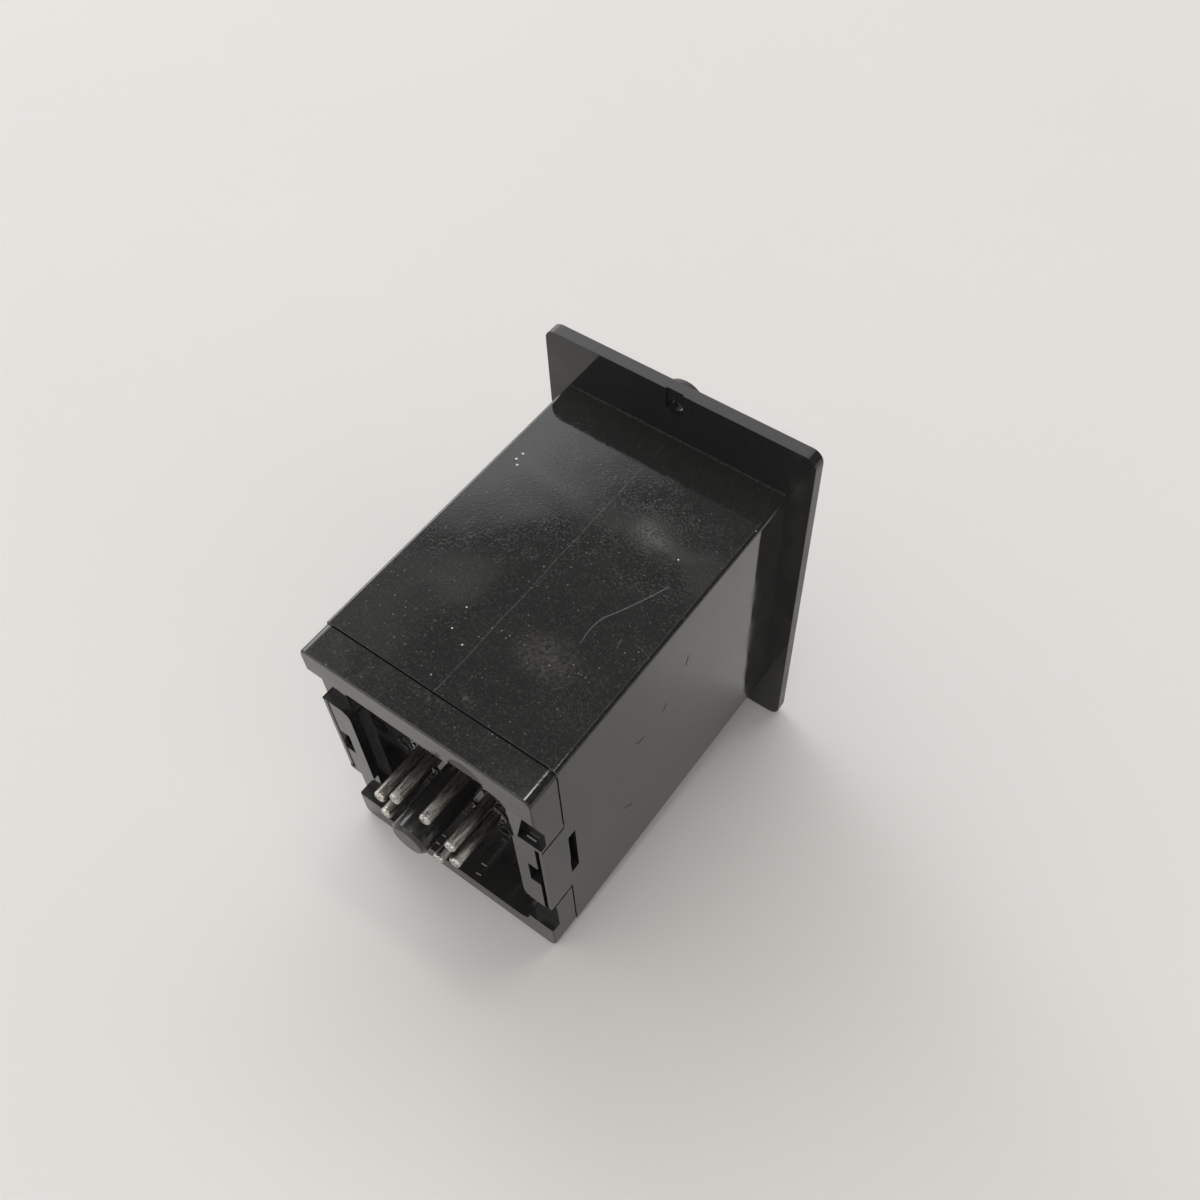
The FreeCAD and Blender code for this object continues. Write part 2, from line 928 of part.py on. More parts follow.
def long_board(level):
    # A board that runs the length of the case, with two tabs at its rear edge
    zs = sorted((level * board_level, level * board_outer))
    board = box(-board_half_width, board_half_width, board_front, rear_board_front, zs[0], zs[1])
    tabs = []
    for side in (-1, 1):
        xs = (side * tab_x - tab_width / 2, side * tab_x + tab_width / 2)
        tabs.append(box(xs[0], xs[1], rear_board_front - 1, rear_board_rear + tab_beyond, zs[0], zs[1]))
    half = link_size / 2 + hole_gap
    corner = board_front + link_run
    holes = []
    for x in link_places():
        holes.append(box(x - half, x + half, corner - half, corner + half, zs[0] - 1, zs[1] + 1))
    return board.fuse(tabs).cut(holes).removeSplitter()


def main_board():
    board = long_board(-1)
    legs = [terminal_hole(x, y) for x, y in terminal_places() + coil_pin_places()]
    legs += [post(diode_lead_radius + hole_gap, -board_outer - 1, board_floor + 1, x, y) for x, y in lead_places()]
    return board.cut(legs)


def terminal_hole(x, y):
    half = terminal_width / 4 + hole_gap
    thick = terminal_thick / 2 + hole_gap
    return box(x - half, x + half, y - thick, y + thick, -board_outer - 1, board_floor + 1)


def timing_board():
    board = long_board(1)
    legs = []
    for x, y in chip_leg_places():
        half = chip_leg_width / 2 + hole_gap
        legs.append(box(x - half, x + half, y - half, y + half, board_level - 1, board_outer + 1))
    for x, y in upper_lead_places():
        legs.append(post(resistor_lead_radius + hole_gap, board_level - 1, board_outer + 1, x, y))
    return board.cut(legs)


def rear_board():
    board = centred_slab(rear_board_width, rear_board_height, 1.0, rear_board_front, rear_board_rear)
    cuts = [rod(tail_radius + hole_gap, rear_board_front - 1, rear_board_rear + 1, x, z) for x, z in pin_places()]
    for level in (-1, 1):
        zs = sorted((level * (board_level - tab_gap), level * (board_outer + tab_gap)))
        for side in (-1, 1):
            x0 = side * tab_x - tab_width / 2 - tab_gap
            x1 = side * tab_x + tab_width / 2 + tab_gap
            cuts.append(box(x0, x1, rear_board_front - 1, rear_board_rear + 1, zs[0], zs[1]))
    return board.cut(cuts)


def spring_places():
    return [relay_x + side * spring_spacing / 2 for side in (-1, 1)]


def terminal_places():
    places = []
    for x in spring_places():
        places.append((x, relay_y - contact_y))
        places.append((x, relay_y - closed_terminal_y))
    return places


def coil_pin_places():
    y = relay_y + (yoke_reach + relay_base_rear) / 2
    return [(x, y) for x in spring_places()]


def relay_base():
    floor = box(
        relay_x - relay_base_width / 2,
        relay_x + relay_base_width / 2,
        relay_y - relay_base_front,
        relay_y + relay_base_rear,
        board_floor,
        yoke_level,
    )
    half = terminal_width / 2 + hole_gap
    thick = terminal_thick / 2 + hole_gap
    cuts = []
    for x, y in terminal_places() + coil_pin_places():
        cuts.append(box(x - half, x + half, y - thick, y + thick, board_floor + terminal_seat, yoke_level + 1))
        cuts.append(terminal_hole(x, y))
    return floor.cut(cuts)


def relay_cover():
    x_half = relay_base_width / 2 + cover_gap
    front = relay_y - relay_base_front - cover_gap
    rear = relay_y + relay_base_rear + cover_gap
    top = cover_top
    outer = box(
        relay_x - x_half - cover_wall,
        relay_x + x_half + cover_wall,
        front - cover_wall,
        rear + cover_wall,
        board_floor + cover_foot,
        top,
    )
    upright = [edge for edge in outer.Edges if abs(edge.tangentAt(edge.FirstParameter).z) > 0.9]
    outer = outer.makeFillet(cover_wall, upright + edges_at(outer, "Z", top))
    inner = box(relay_x - x_half, relay_x + x_half, front, rear, board_floor - 1, top - cover_wall)
    return outer.cut(inner)


def relay_yoke():
    # One folded strip: under the coil, then up behind it to carry the armature
    profile = [
        (relay_y - yoke_front, yoke_level),
        (relay_y + yoke_reach, yoke_level),
        (relay_y + yoke_reach, pole_face),
        (relay_y + yoke_reach - yoke_thick, pole_face),
        (relay_y + yoke_reach - yoke_thick, coil_seat),
        (relay_y - yoke_front, coil_seat),
    ]
    strip = prism_x(profile, relay_x - yoke_width / 2, relay_x + yoke_width / 2)
    outer_bend = []
    for edge in strip.Edges:
        bounds = edge.BoundBox
        if bounds.XMax - bounds.XMin > 1 and bounds.YMin > relay_y + yoke_reach - 0.01:
            if bounds.ZMax < yoke_level + 0.01:
                outer_bend.append(edge)
    strip = strip.makeFillet(yoke_thick * 0.8, outer_bend)
    return strip.cut(post(core_tail_radius, yoke_level - 1, coil_seat + 1, relay_x, relay_y))


def relay_core():
    tail = post(core_tail_radius, yoke_level, coil_seat, relay_x, relay_y)
    stem = post(core_radius, coil_seat, pole_seat, relay_x, relay_y)
    pole = post(pole_radius, pole_seat, pole_face, relay_x, relay_y)
    return stem.fuse([tail, pole]).removeSplitter()


def relay_bobbin():
    tube_radius = core_radius + bobbin_fit + bobbin_wall
    low = post(bobbin_flange_radius, coil_seat, coil_seat + bobbin_flange_thick, relay_x, relay_y)
    high = post(bobbin_flange_radius, pole_seat - bobbin_flange_thick, pole_seat, relay_x, relay_y)
    tube = post(tube_radius, coil_seat, pole_seat, relay_x, relay_y)
    bore = post(core_radius + bobbin_fit, coil_seat - 1, pole_seat + 1, relay_x, relay_y)
    return tube.fuse([low, high]).cut(bore).removeSplitter()


def relay_winding():
    z0 = coil_seat + bobbin_flange_thick
    z1 = pole_seat - bobbin_flange_thick
    outer = post(winding_radius, z0, z1, relay_x, relay_y)
    return outer.cut(post(core_radius + bobbin_fit + bobbin_wall, z0 - 1, z1 + 1, relay_x, relay_y))


def raised(shape):
    # The armature is drawn closed, and rests open by its full angle
    copy = shape.copy()
    copy.rotate(V(0, hinge_y, hinge_z), V(1, 0, 0), -armature_angle)
    return copy


def carrier_ends():
    front = relay_y - armature_front - carrier_lip
    return front, front + carrier_length


def relay_armature():
    heel = hinge_y + hinge_inset + armature_heel
    plate = box(
        relay_x - armature_width / 2,
        relay_x + armature_width / 2,
        relay_y - armature_front,
        heel,
        armature_level,
        armature_level + armature_thick,
    )
    corners = []
    for edge in plate.Edges:
        bounds = edge.BoundBox
        if bounds.ZMax - bounds.ZMin > armature_thick / 2 and bounds.YMin > heel - 0.01:
            corners.append(edge)
    return raised(plate.makeFillet(armature_corner, corners))


def spring_carrier():
    front, rear = carrier_ends()
    top = armature_level + armature_thick + carrier_rise
    block = box(
        relay_x - carrier_width / 2,
        relay_x + carrier_width / 2,
        front,
        rear,
        armature_level - 0.02,
        top,
    )
    plate = box(
        relay_x - armature_width / 2,
        relay_x + armature_width / 2,
        relay_y - armature_front,
        rear + 1,
        armature_level - 1,
        armature_level + armature_thick,
    )
    slots = []
    for x in spring_places():
        slots.append(
            box(
                x - spring_width / 2,
                x + spring_width / 2,
                front - 1,
                rear + 1,
                spring_base,
                spring_base + spring_thick,
            )
        )
    block = block.makeChamfer(carrier_chamfer, edges_at(block, "Z", top))
    return raised(block.cut([plate] + slots))


def moving_spring(x):
    contact_place = relay_y - contact_y
    blade = box(
        x - spring_width / 2,
        x + spring_width / 2,
        relay_y - spring_front,
        relay_y - spring_rear,
        spring_base,
        spring_base + spring_thick,
    )
    hole = post(contact_neck, spring_base - 1, spring_base + 1, x, contact_place)
    return raised(blade.cut(hole))


def moving_contacts():
    rivets = []
    for x in spring_places():
        y = relay_y - contact_y
        low = post(contact_radius, spring_base - contact_thick, spring_base, x, y)
        neck = post(contact_neck, spring_base, spring_base + spring_thick, x, y)
        top = spring_base + spring_thick
        high = post(contact_radius, top, top + contact_thick, x, y)
        rivets.append(raised(low.fuse([neck, high]).removeSplitter()))
    return rivets


def terminal_leg(x, y, top):
    half = terminal_width / 2
    narrow = terminal_width / 4
    thick = terminal_thick / 2
    upper = box(x - half, x + half, y - thick, y + thick, board_floor + terminal_seat, top)
    lower = box(x - narrow, x + narrow, y - thick, y + thick, board_floor - terminal_below, board_floor + 2 * terminal_seat)
    return upper.fuse(lower)


def open_terminals():
    # The lower fixed contacts close when the armature is pulled down
    terminals = []
    for x in spring_places():
        y = relay_y - contact_y
        top = open_contact_level - contact_thick
        half = terminal_width / 2
        head = box(x - half, x + half, y - contact_radius - contact_border, y + contact_radius + contact_border, top - terminal_thick, top)
        button = post(contact_radius, top, open_contact_level, x, y)
        terminals.append(terminal_leg(x, y, top - terminal_thick / 2).fuse([head, button]).removeSplitter())
    return terminals


def closed_terminals():
    # The upper fixed contacts are closed while the armature rests open
    terminals = []
    for x in spring_places():
        y = relay_y - closed_terminal_y
        bottom = closed_contact_level + contact_thick
        half = terminal_width / 2
        reach = relay_y - contact_y + contact_radius + contact_border
        arm = box(x - half, x + half, y - terminal_thick / 2, reach, bottom, bottom + terminal_thick)
        button = post(contact_radius, closed_contact_level, bottom, x, relay_y - contact_y)
        terminals.append(terminal_leg(x, y, bottom + terminal_thick / 2).fuse([arm, button]).removeSplitter())
    return terminals


def coil_pins():
    pins = []
    for x, y in coil_pin_places():
        pins.append(terminal_leg(x, y, yoke_level + coil_pin_above).removeSplitter())
    return pins


def hinge_spring():
    # A bent leaf on the back of the yoke keeps the heel of the armature in place
    back = relay_y + yoke_reach
    over = armature_level + armature_thick + hinge_spring_gap
    rise = armature_heel + hinge_spring_gap + hinge_inset
    foot = pole_face - hinge_spring_foot
    bend = pole_face - hinge_spring_bend
    tip = over + hinge_spring_slope
    thick = hinge_spring_thick
    profile = [
        (back, pole_face - hinge_spring_reach),
        (back, foot),
        (back + rise, bend),
        (back + rise, over),
        (back - hinge_spring_over, tip),
        (back - hinge_spring_over, tip + thick),
        (back + rise + thick, over + thick),
        (back + rise + thick, bend - thick / 2),
        (back + thick, foot - thick / 2),
        (back + thick, pole_face - hinge_spring_reach),
    ]
    return prism_x(profile, relay_x - hinge_spring_width / 2, relay_x + hinge_spring_width / 2)


def smoothing_capacitor():
    z0 = board_floor
    z1 = z0 + smoothing_height
    groove = z0 + smoothing_groove_height
    edge = can_edge
    points = [
        (0, z0),
        (smoothing_radius - edge, z0),
        (smoothing_radius, z0 + edge),
        (smoothing_radius, groove - edge),
        (smoothing_radius - smoothing_groove, groove),
        (smoothing_radius, groove + edge),
        (smoothing_radius, z1 - edge),
        (smoothing_radius - edge, z1),
        (0, z1),
    ]
    wire = Part.makePolygon([V(radius, 0, z) for radius, z in points + points[:1]])
    can = Part.Face(wire).revolve(V(0, 0, 0), V(0, 0, 1), 360)
    can.translate(V(smoothing_x, smoothing_y, 0))
    legs = []
    for x, y in smoothing_lead_places():
        legs.append(post(diode_lead_radius, -board_outer - solder_beyond, board_floor + 0.5, x, y))
    return can.fuse(legs)


def smoothing_lead_places():
    return [(smoothing_x + side * lead_spacing, smoothing_y) for side in (-1, 1)]


def supply_lead_places():
    return [(supply_x, supply_y + side * (supply_length / 2 - lead_inset)) for side in (-1, 1)]


def film_block(x, y, length, width, z0, z1, leads, lead_radius_here, lead_end):
    body = box(x - width / 2, x + width / 2, y - length / 2, y + length / 2, z0, z1)
    upright = [edge for edge in body.Edges if abs(edge.tangentAt(edge.FirstParameter).z) > 0.9]
    body = body.makeFillet(supply_round, upright)
    legs = []
    for lead_x, lead_y in leads:
        legs.append(post(lead_radius_here, lead_end, z0 + 0.5, lead_x, lead_y))
    return body.fuse(legs)


def supply_capacitor():
    end = -board_outer - solder_beyond
    top = board_floor + supply_height
    return film_block(
        supply_x,
        supply_y,
        supply_length,
        supply_width,
        board_floor,
        top,
        supply_lead_places(),
        diode_lead_radius,
        end,
    )


def timing_lead_places():
    return [(timing_x, timing_y + side * (timing_length / 2 - lead_inset)) for side in (-1, 1)]


def timing_capacitor():
    end = board_level - solder_beyond
    return film_block(
        timing_x,
        timing_y,
        timing_length,
        timing_width,
        board_outer,
        board_outer + timing_height,
        timing_lead_places(),
        resistor_lead_radius,
        end,
    )


def diode_places():
    places = []
    for column in range(2):
        for row in range(2):
            places.append((diode_x + column * diode_step_x, diode_y + row * diode_step_y))
    return places


def lead_places():
    places = smoothing_lead_places() + supply_lead_places()
    for x, y in diode_places():
        places.append((x, y - diode_lead_span / 2))
        places.append((x, y + diode_lead_span / 2))
    return places


def bent_lead(x, y_start, y_leg, level, leg_end, wire_radius):
    # A round wire that leaves a part along Y and turns down through the board
    side = 1 if y_leg > y_start else -1
    bend = wire_radius * lead_bend
    corner = y_leg - side * bend
    short = bend * (1 - math.sin(math.radians(45)))
    turn = Part.Arc(V(x, corner, level), V(x, y_leg - side * short, level - short), V(x, y_leg, level - bend))
    path = Part.Wire(
        [
            Part.LineSegment(V(x, y_start, level), V(x, corner, level)).toShape(),
            turn.toShape(),
            Part.LineSegment(V(x, y_leg, level - bend), V(x, y_leg, leg_end)).toShape(),
        ]
    )
    section = Part.Wire([Part.makeCircle(wire_radius, V(x, y_start, level), V(0, side, 0))])
    return path.makePipeShell([section], True, False)


def axial_part(x, y, radius, length, lift, seat, wire_radius, span, leg_end):
    # A round body lying along Y between its two bent leads
    level = seat + lift
    body = rod(radius, y - length / 2, y + length / 2, x, level)
    leads = []
    for side in (-1, 1):
        inside = y + side * (length / 2 - wire_radius)
        leads.append(bent_lead(x, inside, y + side * span / 2, level, leg_end, wire_radius))
    return body.fuse(leads)


def rectifier_diodes():
    parts = []
    for x, y in diode_places():
        parts.append(
            axial_part(
                x,
                y,
                diode_radius,
                diode_length,
                diode_lift,
                board_floor,
                diode_lead_radius,
                diode_lead_span,
                -board_outer - solder_beyond,
            )
        )
    return parts


def resistor_places():
    half = (resistor_count - 1) / 2
    return [
        (resistor_x + (number - half) * resistor_pitch, resistor_y)
        for number in range(resistor_count)
    ]


def upper_lead_places():
    places = timing_lead_places()
    for x, y in resistor_places():
        places.append((x, y - resistor_lead_span / 2))
        places.append((x, y + resistor_lead_span / 2))
    for x, y in transistor_leg_places():
        places.append((x, y))
    return places


def resistors():
    parts = []
    for x, y in resistor_places():
        parts.append(
            axial_part(
                x,
                y,
                resistor_radius,
                resistor_length,
                resistor_lift,
                board_outer,
                resistor_lead_radius,
                resistor_lead_span,
                board_level - solder_beyond,
            )
        )
    return parts


def chip_leg_places():
    places = []
    half = (chip_legs - 1) / 2
    for side in (-1, 1):
        for number in range(chip_legs):
            places.append((chip_x + side * chip_row / 2, chip_y + (number - half) * chip_leg_pitch))
    return places


def timer_chip():
    z0 = board_outer + chip_stand
    z1 = z0 + chip_height
    middle = (z0 + z1) / 2
    profile = [
        (chip_x - chip_width / 2, middle),
        (chip_x - chip_width / 2 + chip_draft, z0),
        (chip_x + chip_width / 2 - chip_draft, z0),
        (chip_x + chip_width / 2, middle),
        (chip_x + chip_width / 2 - chip_draft, z1),
        (chip_x - chip_width / 2 + chip_draft, z1),
    ]
    body = prism_y(profile, chip_y - chip_length / 2, chip_y + chip_length / 2)
    legs = []
    half = chip_leg_width / 2
    for x, y in chip_leg_places():
        side = 1 if x > chip_x else -1
        xs = sorted((x + side * chip_leg_thick / 2, chip_x + side * (chip_width / 2 - 0.5)))
        legs.append(box(xs[0], xs[1], y - half, y + half, middle - chip_leg_thick / 2, middle + chip_leg_thick / 2))
        legs.append(
            box(
                x - chip_leg_thick / 2,
                x + chip_leg_thick / 2,
                y - half,
                y + half,
                board_level - solder_beyond,
                middle + chip_leg_thick / 2,
            )
        )
    notch = post(chip_notch_radius, z1 - chip_notch_depth, z1 + 1, chip_x, chip_y - chip_length / 2)
    return body.fuse(legs).cut(notch).removeSplitter()


def transistor_leg_places():
    return [(transistor_x + number * transistor_pitch, transistor_y) for number in (-1, 0, 1)]


def driver_transistor():
    z0 = board_outer + transistor_stand
    body = post(transistor_radius, z0, z0 + transistor_height, transistor_x, transistor_y)
    face = transistor_y - transistor_flat
    side = box(
        transistor_x - transistor_radius - 1,
        transistor_x + transistor_radius + 1,
        face - transistor_radius,
        face,
        z0 - 1,
        z0 + transistor_height + 1,
    )
    legs = []
    half = transistor_leg / 2
    for x, y in transistor_leg_places():
        legs.append(box(x - half, x + half, y - half, y + half, board_level - solder_beyond, z0 + 0.5))
    return body.cut(side).fuse(legs)


def all_nodes():
    nodes = {
        "case_shell": case_shell(),
        "rear_base": rear_base(),
        "dial_plate": dial_plate(),
        "setting_knob": setting_knob(),
        "pot_body": pot_body(),
        "pot_shaft": pot_shaft(),
        "pot_washer": pot_washer(),
        "pot_nut": pot_nut(),
        "pot_tags": pot_tags(),
        "power_lamp": lamp(-1),
        "output_lamp": lamp(1),
        "front_board": front_board(),
        "board_screws": board_screws(),
        "link_pins": link_pins(),
        "main_board": main_board(),
        "timing_board": timing_board(),
        "rear_board": rear_board(),
        "relay_base": relay_base(),
        "relay_cover": relay_cover(),
        "relay_yoke": relay_yoke(),
        "relay_core": relay_core(),
        "relay_bobbin": relay_bobbin(),
        "relay_winding": relay_winding(),
        "relay_armature": relay_armature(),
        "spring_carrier": spring_carrier(),
        "moving_contacts": moving_contacts(),
        "open_terminals": open_terminals(),
        "closed_terminals": closed_terminals(),
        "coil_pins": coil_pins(),
        "hinge_spring": hinge_spring(),
        "smoothing_capacitor": smoothing_capacitor(),
        "supply_capacitor": supply_capacitor(),
        "rectifier_diodes": rectifier_diodes(),
        "timer_chip": timer_chip(),
        "timing_capacitor": timing_capacitor(),
        "resistors": resistors(),
        "driver_transistor": driver_transistor(),
    }
    for number, (x, z) in enumerate(pin_places(), start=1):
        nodes["pin_" + str(number)] = plug_pin(x, z)
    for name, x in zip(("moving_spring_right", "moving_spring_left"), spring_places()):
        nodes[name] = moving_spring(x)
    return nodes


def write_step(name, shape):
    if isinstance(shape, list):
        shape = Part.makeCompound(shape)
    shape.exportStep("parts/" + name + ".step")
    solids = shape.Solids
    volume = sum(solid.Volume for solid in solids)
    print(name, len(solids), "solids", round(volume, 1), "mm3", "valid" if shape.isValid() else "not valid")


os.makedirs("parts", exist_ok=True)
for node_name, node_shape in all_nodes().items():
    write_step(node_name, node_shape)
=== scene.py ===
import math

import bmesh
import bpy
from mathutils import Matrix, Vector, noise


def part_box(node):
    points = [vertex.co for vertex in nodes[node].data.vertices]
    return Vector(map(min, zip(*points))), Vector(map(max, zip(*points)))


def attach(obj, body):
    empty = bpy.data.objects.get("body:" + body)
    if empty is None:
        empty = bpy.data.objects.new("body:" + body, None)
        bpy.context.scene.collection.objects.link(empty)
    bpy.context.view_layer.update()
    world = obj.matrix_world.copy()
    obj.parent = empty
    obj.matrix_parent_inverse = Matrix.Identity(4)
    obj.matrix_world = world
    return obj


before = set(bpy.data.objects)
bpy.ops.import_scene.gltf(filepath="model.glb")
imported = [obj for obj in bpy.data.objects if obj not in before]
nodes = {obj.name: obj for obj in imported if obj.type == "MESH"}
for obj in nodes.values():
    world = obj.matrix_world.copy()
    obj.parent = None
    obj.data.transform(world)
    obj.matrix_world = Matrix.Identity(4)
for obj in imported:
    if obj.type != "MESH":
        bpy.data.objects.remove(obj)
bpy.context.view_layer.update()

scene = bpy.context.scene
mm = 0.001


def at(*numbers):
    return Vector(numbers) * mm


# Sizes of the relay that the new pieces and the marks follow, in mm
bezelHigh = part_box("case_shell")[1]
seamY = 66.6
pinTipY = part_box("pin_1")[1].y / mm
pinCircle = 17.45
pinRadius = 1.18
caseHalfWidth = 24.35
caseHalfHeight = 30.35
latchMiddle = 1.2
latchHalf = 12.25
bezelHalfWidth = bezelHigh.x / mm
bezelHalfHeight = bezelHigh.z / mm
dialFaceY = -2.7
knobZ = -4.0


# Shader helpers: a value wraps a socket, a recipe fills a node tree, and a finish is a material's recipe

class Value:
    def __init__(self, finish, socket):
        self.finish = finish
        self.socket = socket

    def maths(self, operation, *inputs):
        return self.finish.node("ShaderNodeMath", {"operation": operation}, inputs)

    def __add__(self, other):
        return self.maths("ADD", self, other)

    def __sub__(self, other):
        return self.maths("SUBTRACT", self, other)

    def __rsub__(self, other):
        return self.maths("SUBTRACT", other, self)

    def __mul__(self, other):
        return self.maths("MULTIPLY", self, other)

    def __truediv__(self, other):
        return self.maths("DIVIDE", self, other)

    def __gt__(self, other):
        return self.maths("GREATER_THAN", self, other)

    def __lt__(self, other):
        return self.maths("LESS_THAN", self, other)

    def __abs__(self):
        return self.maths("ABSOLUTE", self)

    __radd__ = __add__
    __rmul__ = __mul__

    def root(self):
        return self.maths("SQRT", self)

    def least(self, other):
        return self.maths("MINIMUM", self, other)

    def most(self, other):
        return self.maths("MAXIMUM", self, other)

    def step(self, low, high, start=0.0, end=1.0):
        # Goes smoothly from start to end as the value goes from low to high
        settings = {"interpolation_type": "SMOOTHSTEP"}
        return self.finish.node("ShaderNodeMapRange", settings, [self, low, high, start, end])


class Recipe:
    def __init__(self, tree, coordinates, scale):
        self.tree = tree
        source = self.node("ShaderNodeTexCoord", {}, {}, coordinates)
        self.place = self.node("ShaderNodeVectorMath", {"operation": "SCALE"}, {0: source, "Scale": scale})
        self.x, self.y, self.z = self.parts(self.place)

    def node(self, kind, settings, inputs, output=0):
        made = self.tree.nodes.new(kind)
        for name, value in settings.items():
            setattr(made, name, value)
        pairs = inputs.items() if isinstance(inputs, dict) else enumerate(inputs)
        for name, value in pairs:
            self.feed(made.inputs[name], value)
        return Value(self, made.outputs[output])

    def feed(self, socket, value):
        if isinstance(value, Value):
            self.tree.links.new(value.socket, socket)
        elif isinstance(value, tuple) and len(value) == 3 and len(socket.default_value) == 4:
            socket.default_value = (*value, 1)
        else:
            socket.default_value = value

    def parts(self, vector):
        return [self.node("ShaderNodeSeparateXYZ", {}, [vector], number) for number in range(3)]

    def noise(self, cell, detail=2.0, place=None, rough=0.5):
        inputs = {"Vector": place or self.place, "Scale": 1 / cell, "Detail": detail, "Roughness": rough}
        return self.node("ShaderNodeTexNoise", {}, inputs)

    def mix(self, share, first, second):
        inputs = {0: share, 6: first, 7: second}
        return self.node("ShaderNodeMix", {"data_type": "RGBA"}, inputs, 2)

    def blob(self, u, v, centre, wide, high, turn=0.0):
        # 1 in the middle of an oval patch, 0 at its rim
        cosine = math.cos(math.radians(turn))
        sine = math.sin(math.radians(turn))
        across = (u - centre[0]) * (cosine / wide) + (v - centre[1]) * (sine / wide)
        up = (v - centre[1]) * (cosine / high) - (u - centre[0]) * (sine / high)
        return (across * across + up * up).root().step(0.0, 1.0, 1.0, 0.0)


class Finish(Recipe):
    def __init__(self, name):
        self.material = bpy.data.materials.new(name)
        self.material.use_nodes = True
        super().__init__(self.material.node_tree, "Object", 1 / mm)
        self.shader = self.tree.nodes["Principled BSDF"]

    def set(self, **values):
        for name, value in values.items():
            self.feed(self.shader.inputs[name.replace("_", " ")], value)
        return self

    def stretched(self, x, y, z):
        return self.node("ShaderNodeVectorMath", {"operation": "MULTIPLY"}, [self.place, (x, y, z)])

    def facing(self):
        # The direction a face points in, as three values
        return self.parts(self.node("ShaderNodeNewGeometry", {}, {}, "Normal"))

    def specks(self, cell, share, size, place=None):
        # Round specks: a share of the cells has one, and no two are alike
        inputs = {"Vector": place or self.place, "Scale": 1 / cell}
        distance = self.node("ShaderNodeTexVoronoi", {}, inputs, "Distance")
        colour = self.node("ShaderNodeTexVoronoi", {}, inputs, "Color")
        chance = self.node("ShaderNodeSeparateColor", {}, [colour], 0)
        reach = self.node("ShaderNodeSeparateColor", {}, [colour], 1)
        return (chance > 1 - share) * (distance / (reach + 0.3)).step(size * 0.4, size, 1.0, 0.0)

    def bump(self, height, depth, normal=None):
        inputs = {"Height": height, "Distance": depth * mm, "Strength": 1.0}
        if normal:
            inputs["Normal"] = normal
        return self.node("ShaderNodeBump", {}, inputs)

    def arc(self, u, v, first, middle, last, width):
        # A thin curved stroke through three places
        centre, radius = circleThrough(first, middle, last)
        across = u - centre[0]
        up = v - centre[1]
        line = abs((across * across + up * up).root() - radius).step(width * 0.2, width, 1.0, 0.0)
        low = min(first[1], last[1])
        high = max(first[1], last[1])
        left = min(first[0], middle[0], last[0]) - 0.5
        right = max(first[0], middle[0], last[0]) + 0.5
        return line * (v > low) * (v < high) * (u > left) * (u < right)


def circleThrough(first, middle, last):
    (ax, ay), (bx, by), (cx, cy) = first, middle, last
    twice = 2 * (ax * (by - cy) + bx * (cy - ay) + cx * (ay - by))
    a = ax * ax + ay * ay
    b = bx * bx + by * by
    c = cx * cx + cy * cy
    x = (a * (by - cy) + b * (cy - ay) + c * (ay - by)) / twice
    y = (a * (cx - bx) + b * (ax - cx) + c * (bx - ax)) / twice
    return (x, y), math.hypot(ax - x, ay - y)


# Finishes

plasticLook = {
    "black": (0.013, 0.0128, 0.0127),
    "dust": (0.34, 0.33, 0.315),
    "polish": 0.03,
    "haze": 0.03,
    "veil": 0.01,
    "grain": 0.058,
    "specks": 0.36,
    "crumbs": 0.8,
    "settled": 0.02,
}


def dustyPlastic(name, look, openTo):
    # Glossy black moulding under a thin veil of dust, with grains and crumbs in it.
    # openTo gives the share of the grains that a place gets.
    finish = Finish(name)
    share = openTo(finish)
    x, y, z = finish.facing()
    lying = z.step(-0.1, 0.9, 0.12, 1.0)
    film = finish.noise(8.0, 4.0)
    patches = finish.noise(2.2, 4.0, rough=0.6)
    grains = finish.noise(0.42, 2.0).step(0.46, 0.74) * patches.step(0.3, 0.7, 0.45, 1.3)
    fine = finish.specks(0.8, 0.45, 0.2)
    crumbs = finish.specks(3.4, 0.14, 0.05)
    veil = film.step(0.35, 0.65, 0.4, 1.0) * look["veil"] + grains * look["grain"]
    dust = (veil * share + fine * film.step(0.35, 0.7, 0.3, 1.0) * look["specks"] * share) * lying
    dust = dust + (1.0 - share) * lying * look["settled"]
    finish.dust = (dust + crumbs * look["crumbs"] * lying).least(1.0)
    finish.film = film
    return finish


topMarks = {
    "line": 0.45,
    "scratch": ((-18.4, 28.1), (-15.9, 34.1), (-13.2, 39.4), 0.14),
    "hook": ((-13.2, 39.4), (-12.73, 42.3), (-13.1, 45.3), 0.12),
    "tick": ((-18.5, 43.0), (-18.25, 42.1), (-18.1, 41.1), 0.1),
    "tail": ((-20.8, 40.7), (-22.3, 41.0), (-24.1, 41.7), 0.1),
    "bend": ((-14.5, 55.3), (-15.7, 54.0), (-16.3, 52.4), 0.1),
    "dark": ((18.5, 22.0), (17.6, 29.0), (21.0, 38.0), 0.14),
    "smudge": ((-10.0, 51.0), 7.0, 5.5),
    "smear": ((-4.6, 64.6), 3.6, 1.2, -26),
    "whorl": ((-18.5, 55.5), 8.0, 7.0),
    "whorlCore": (-15.5, 59.0, 0.0),
}


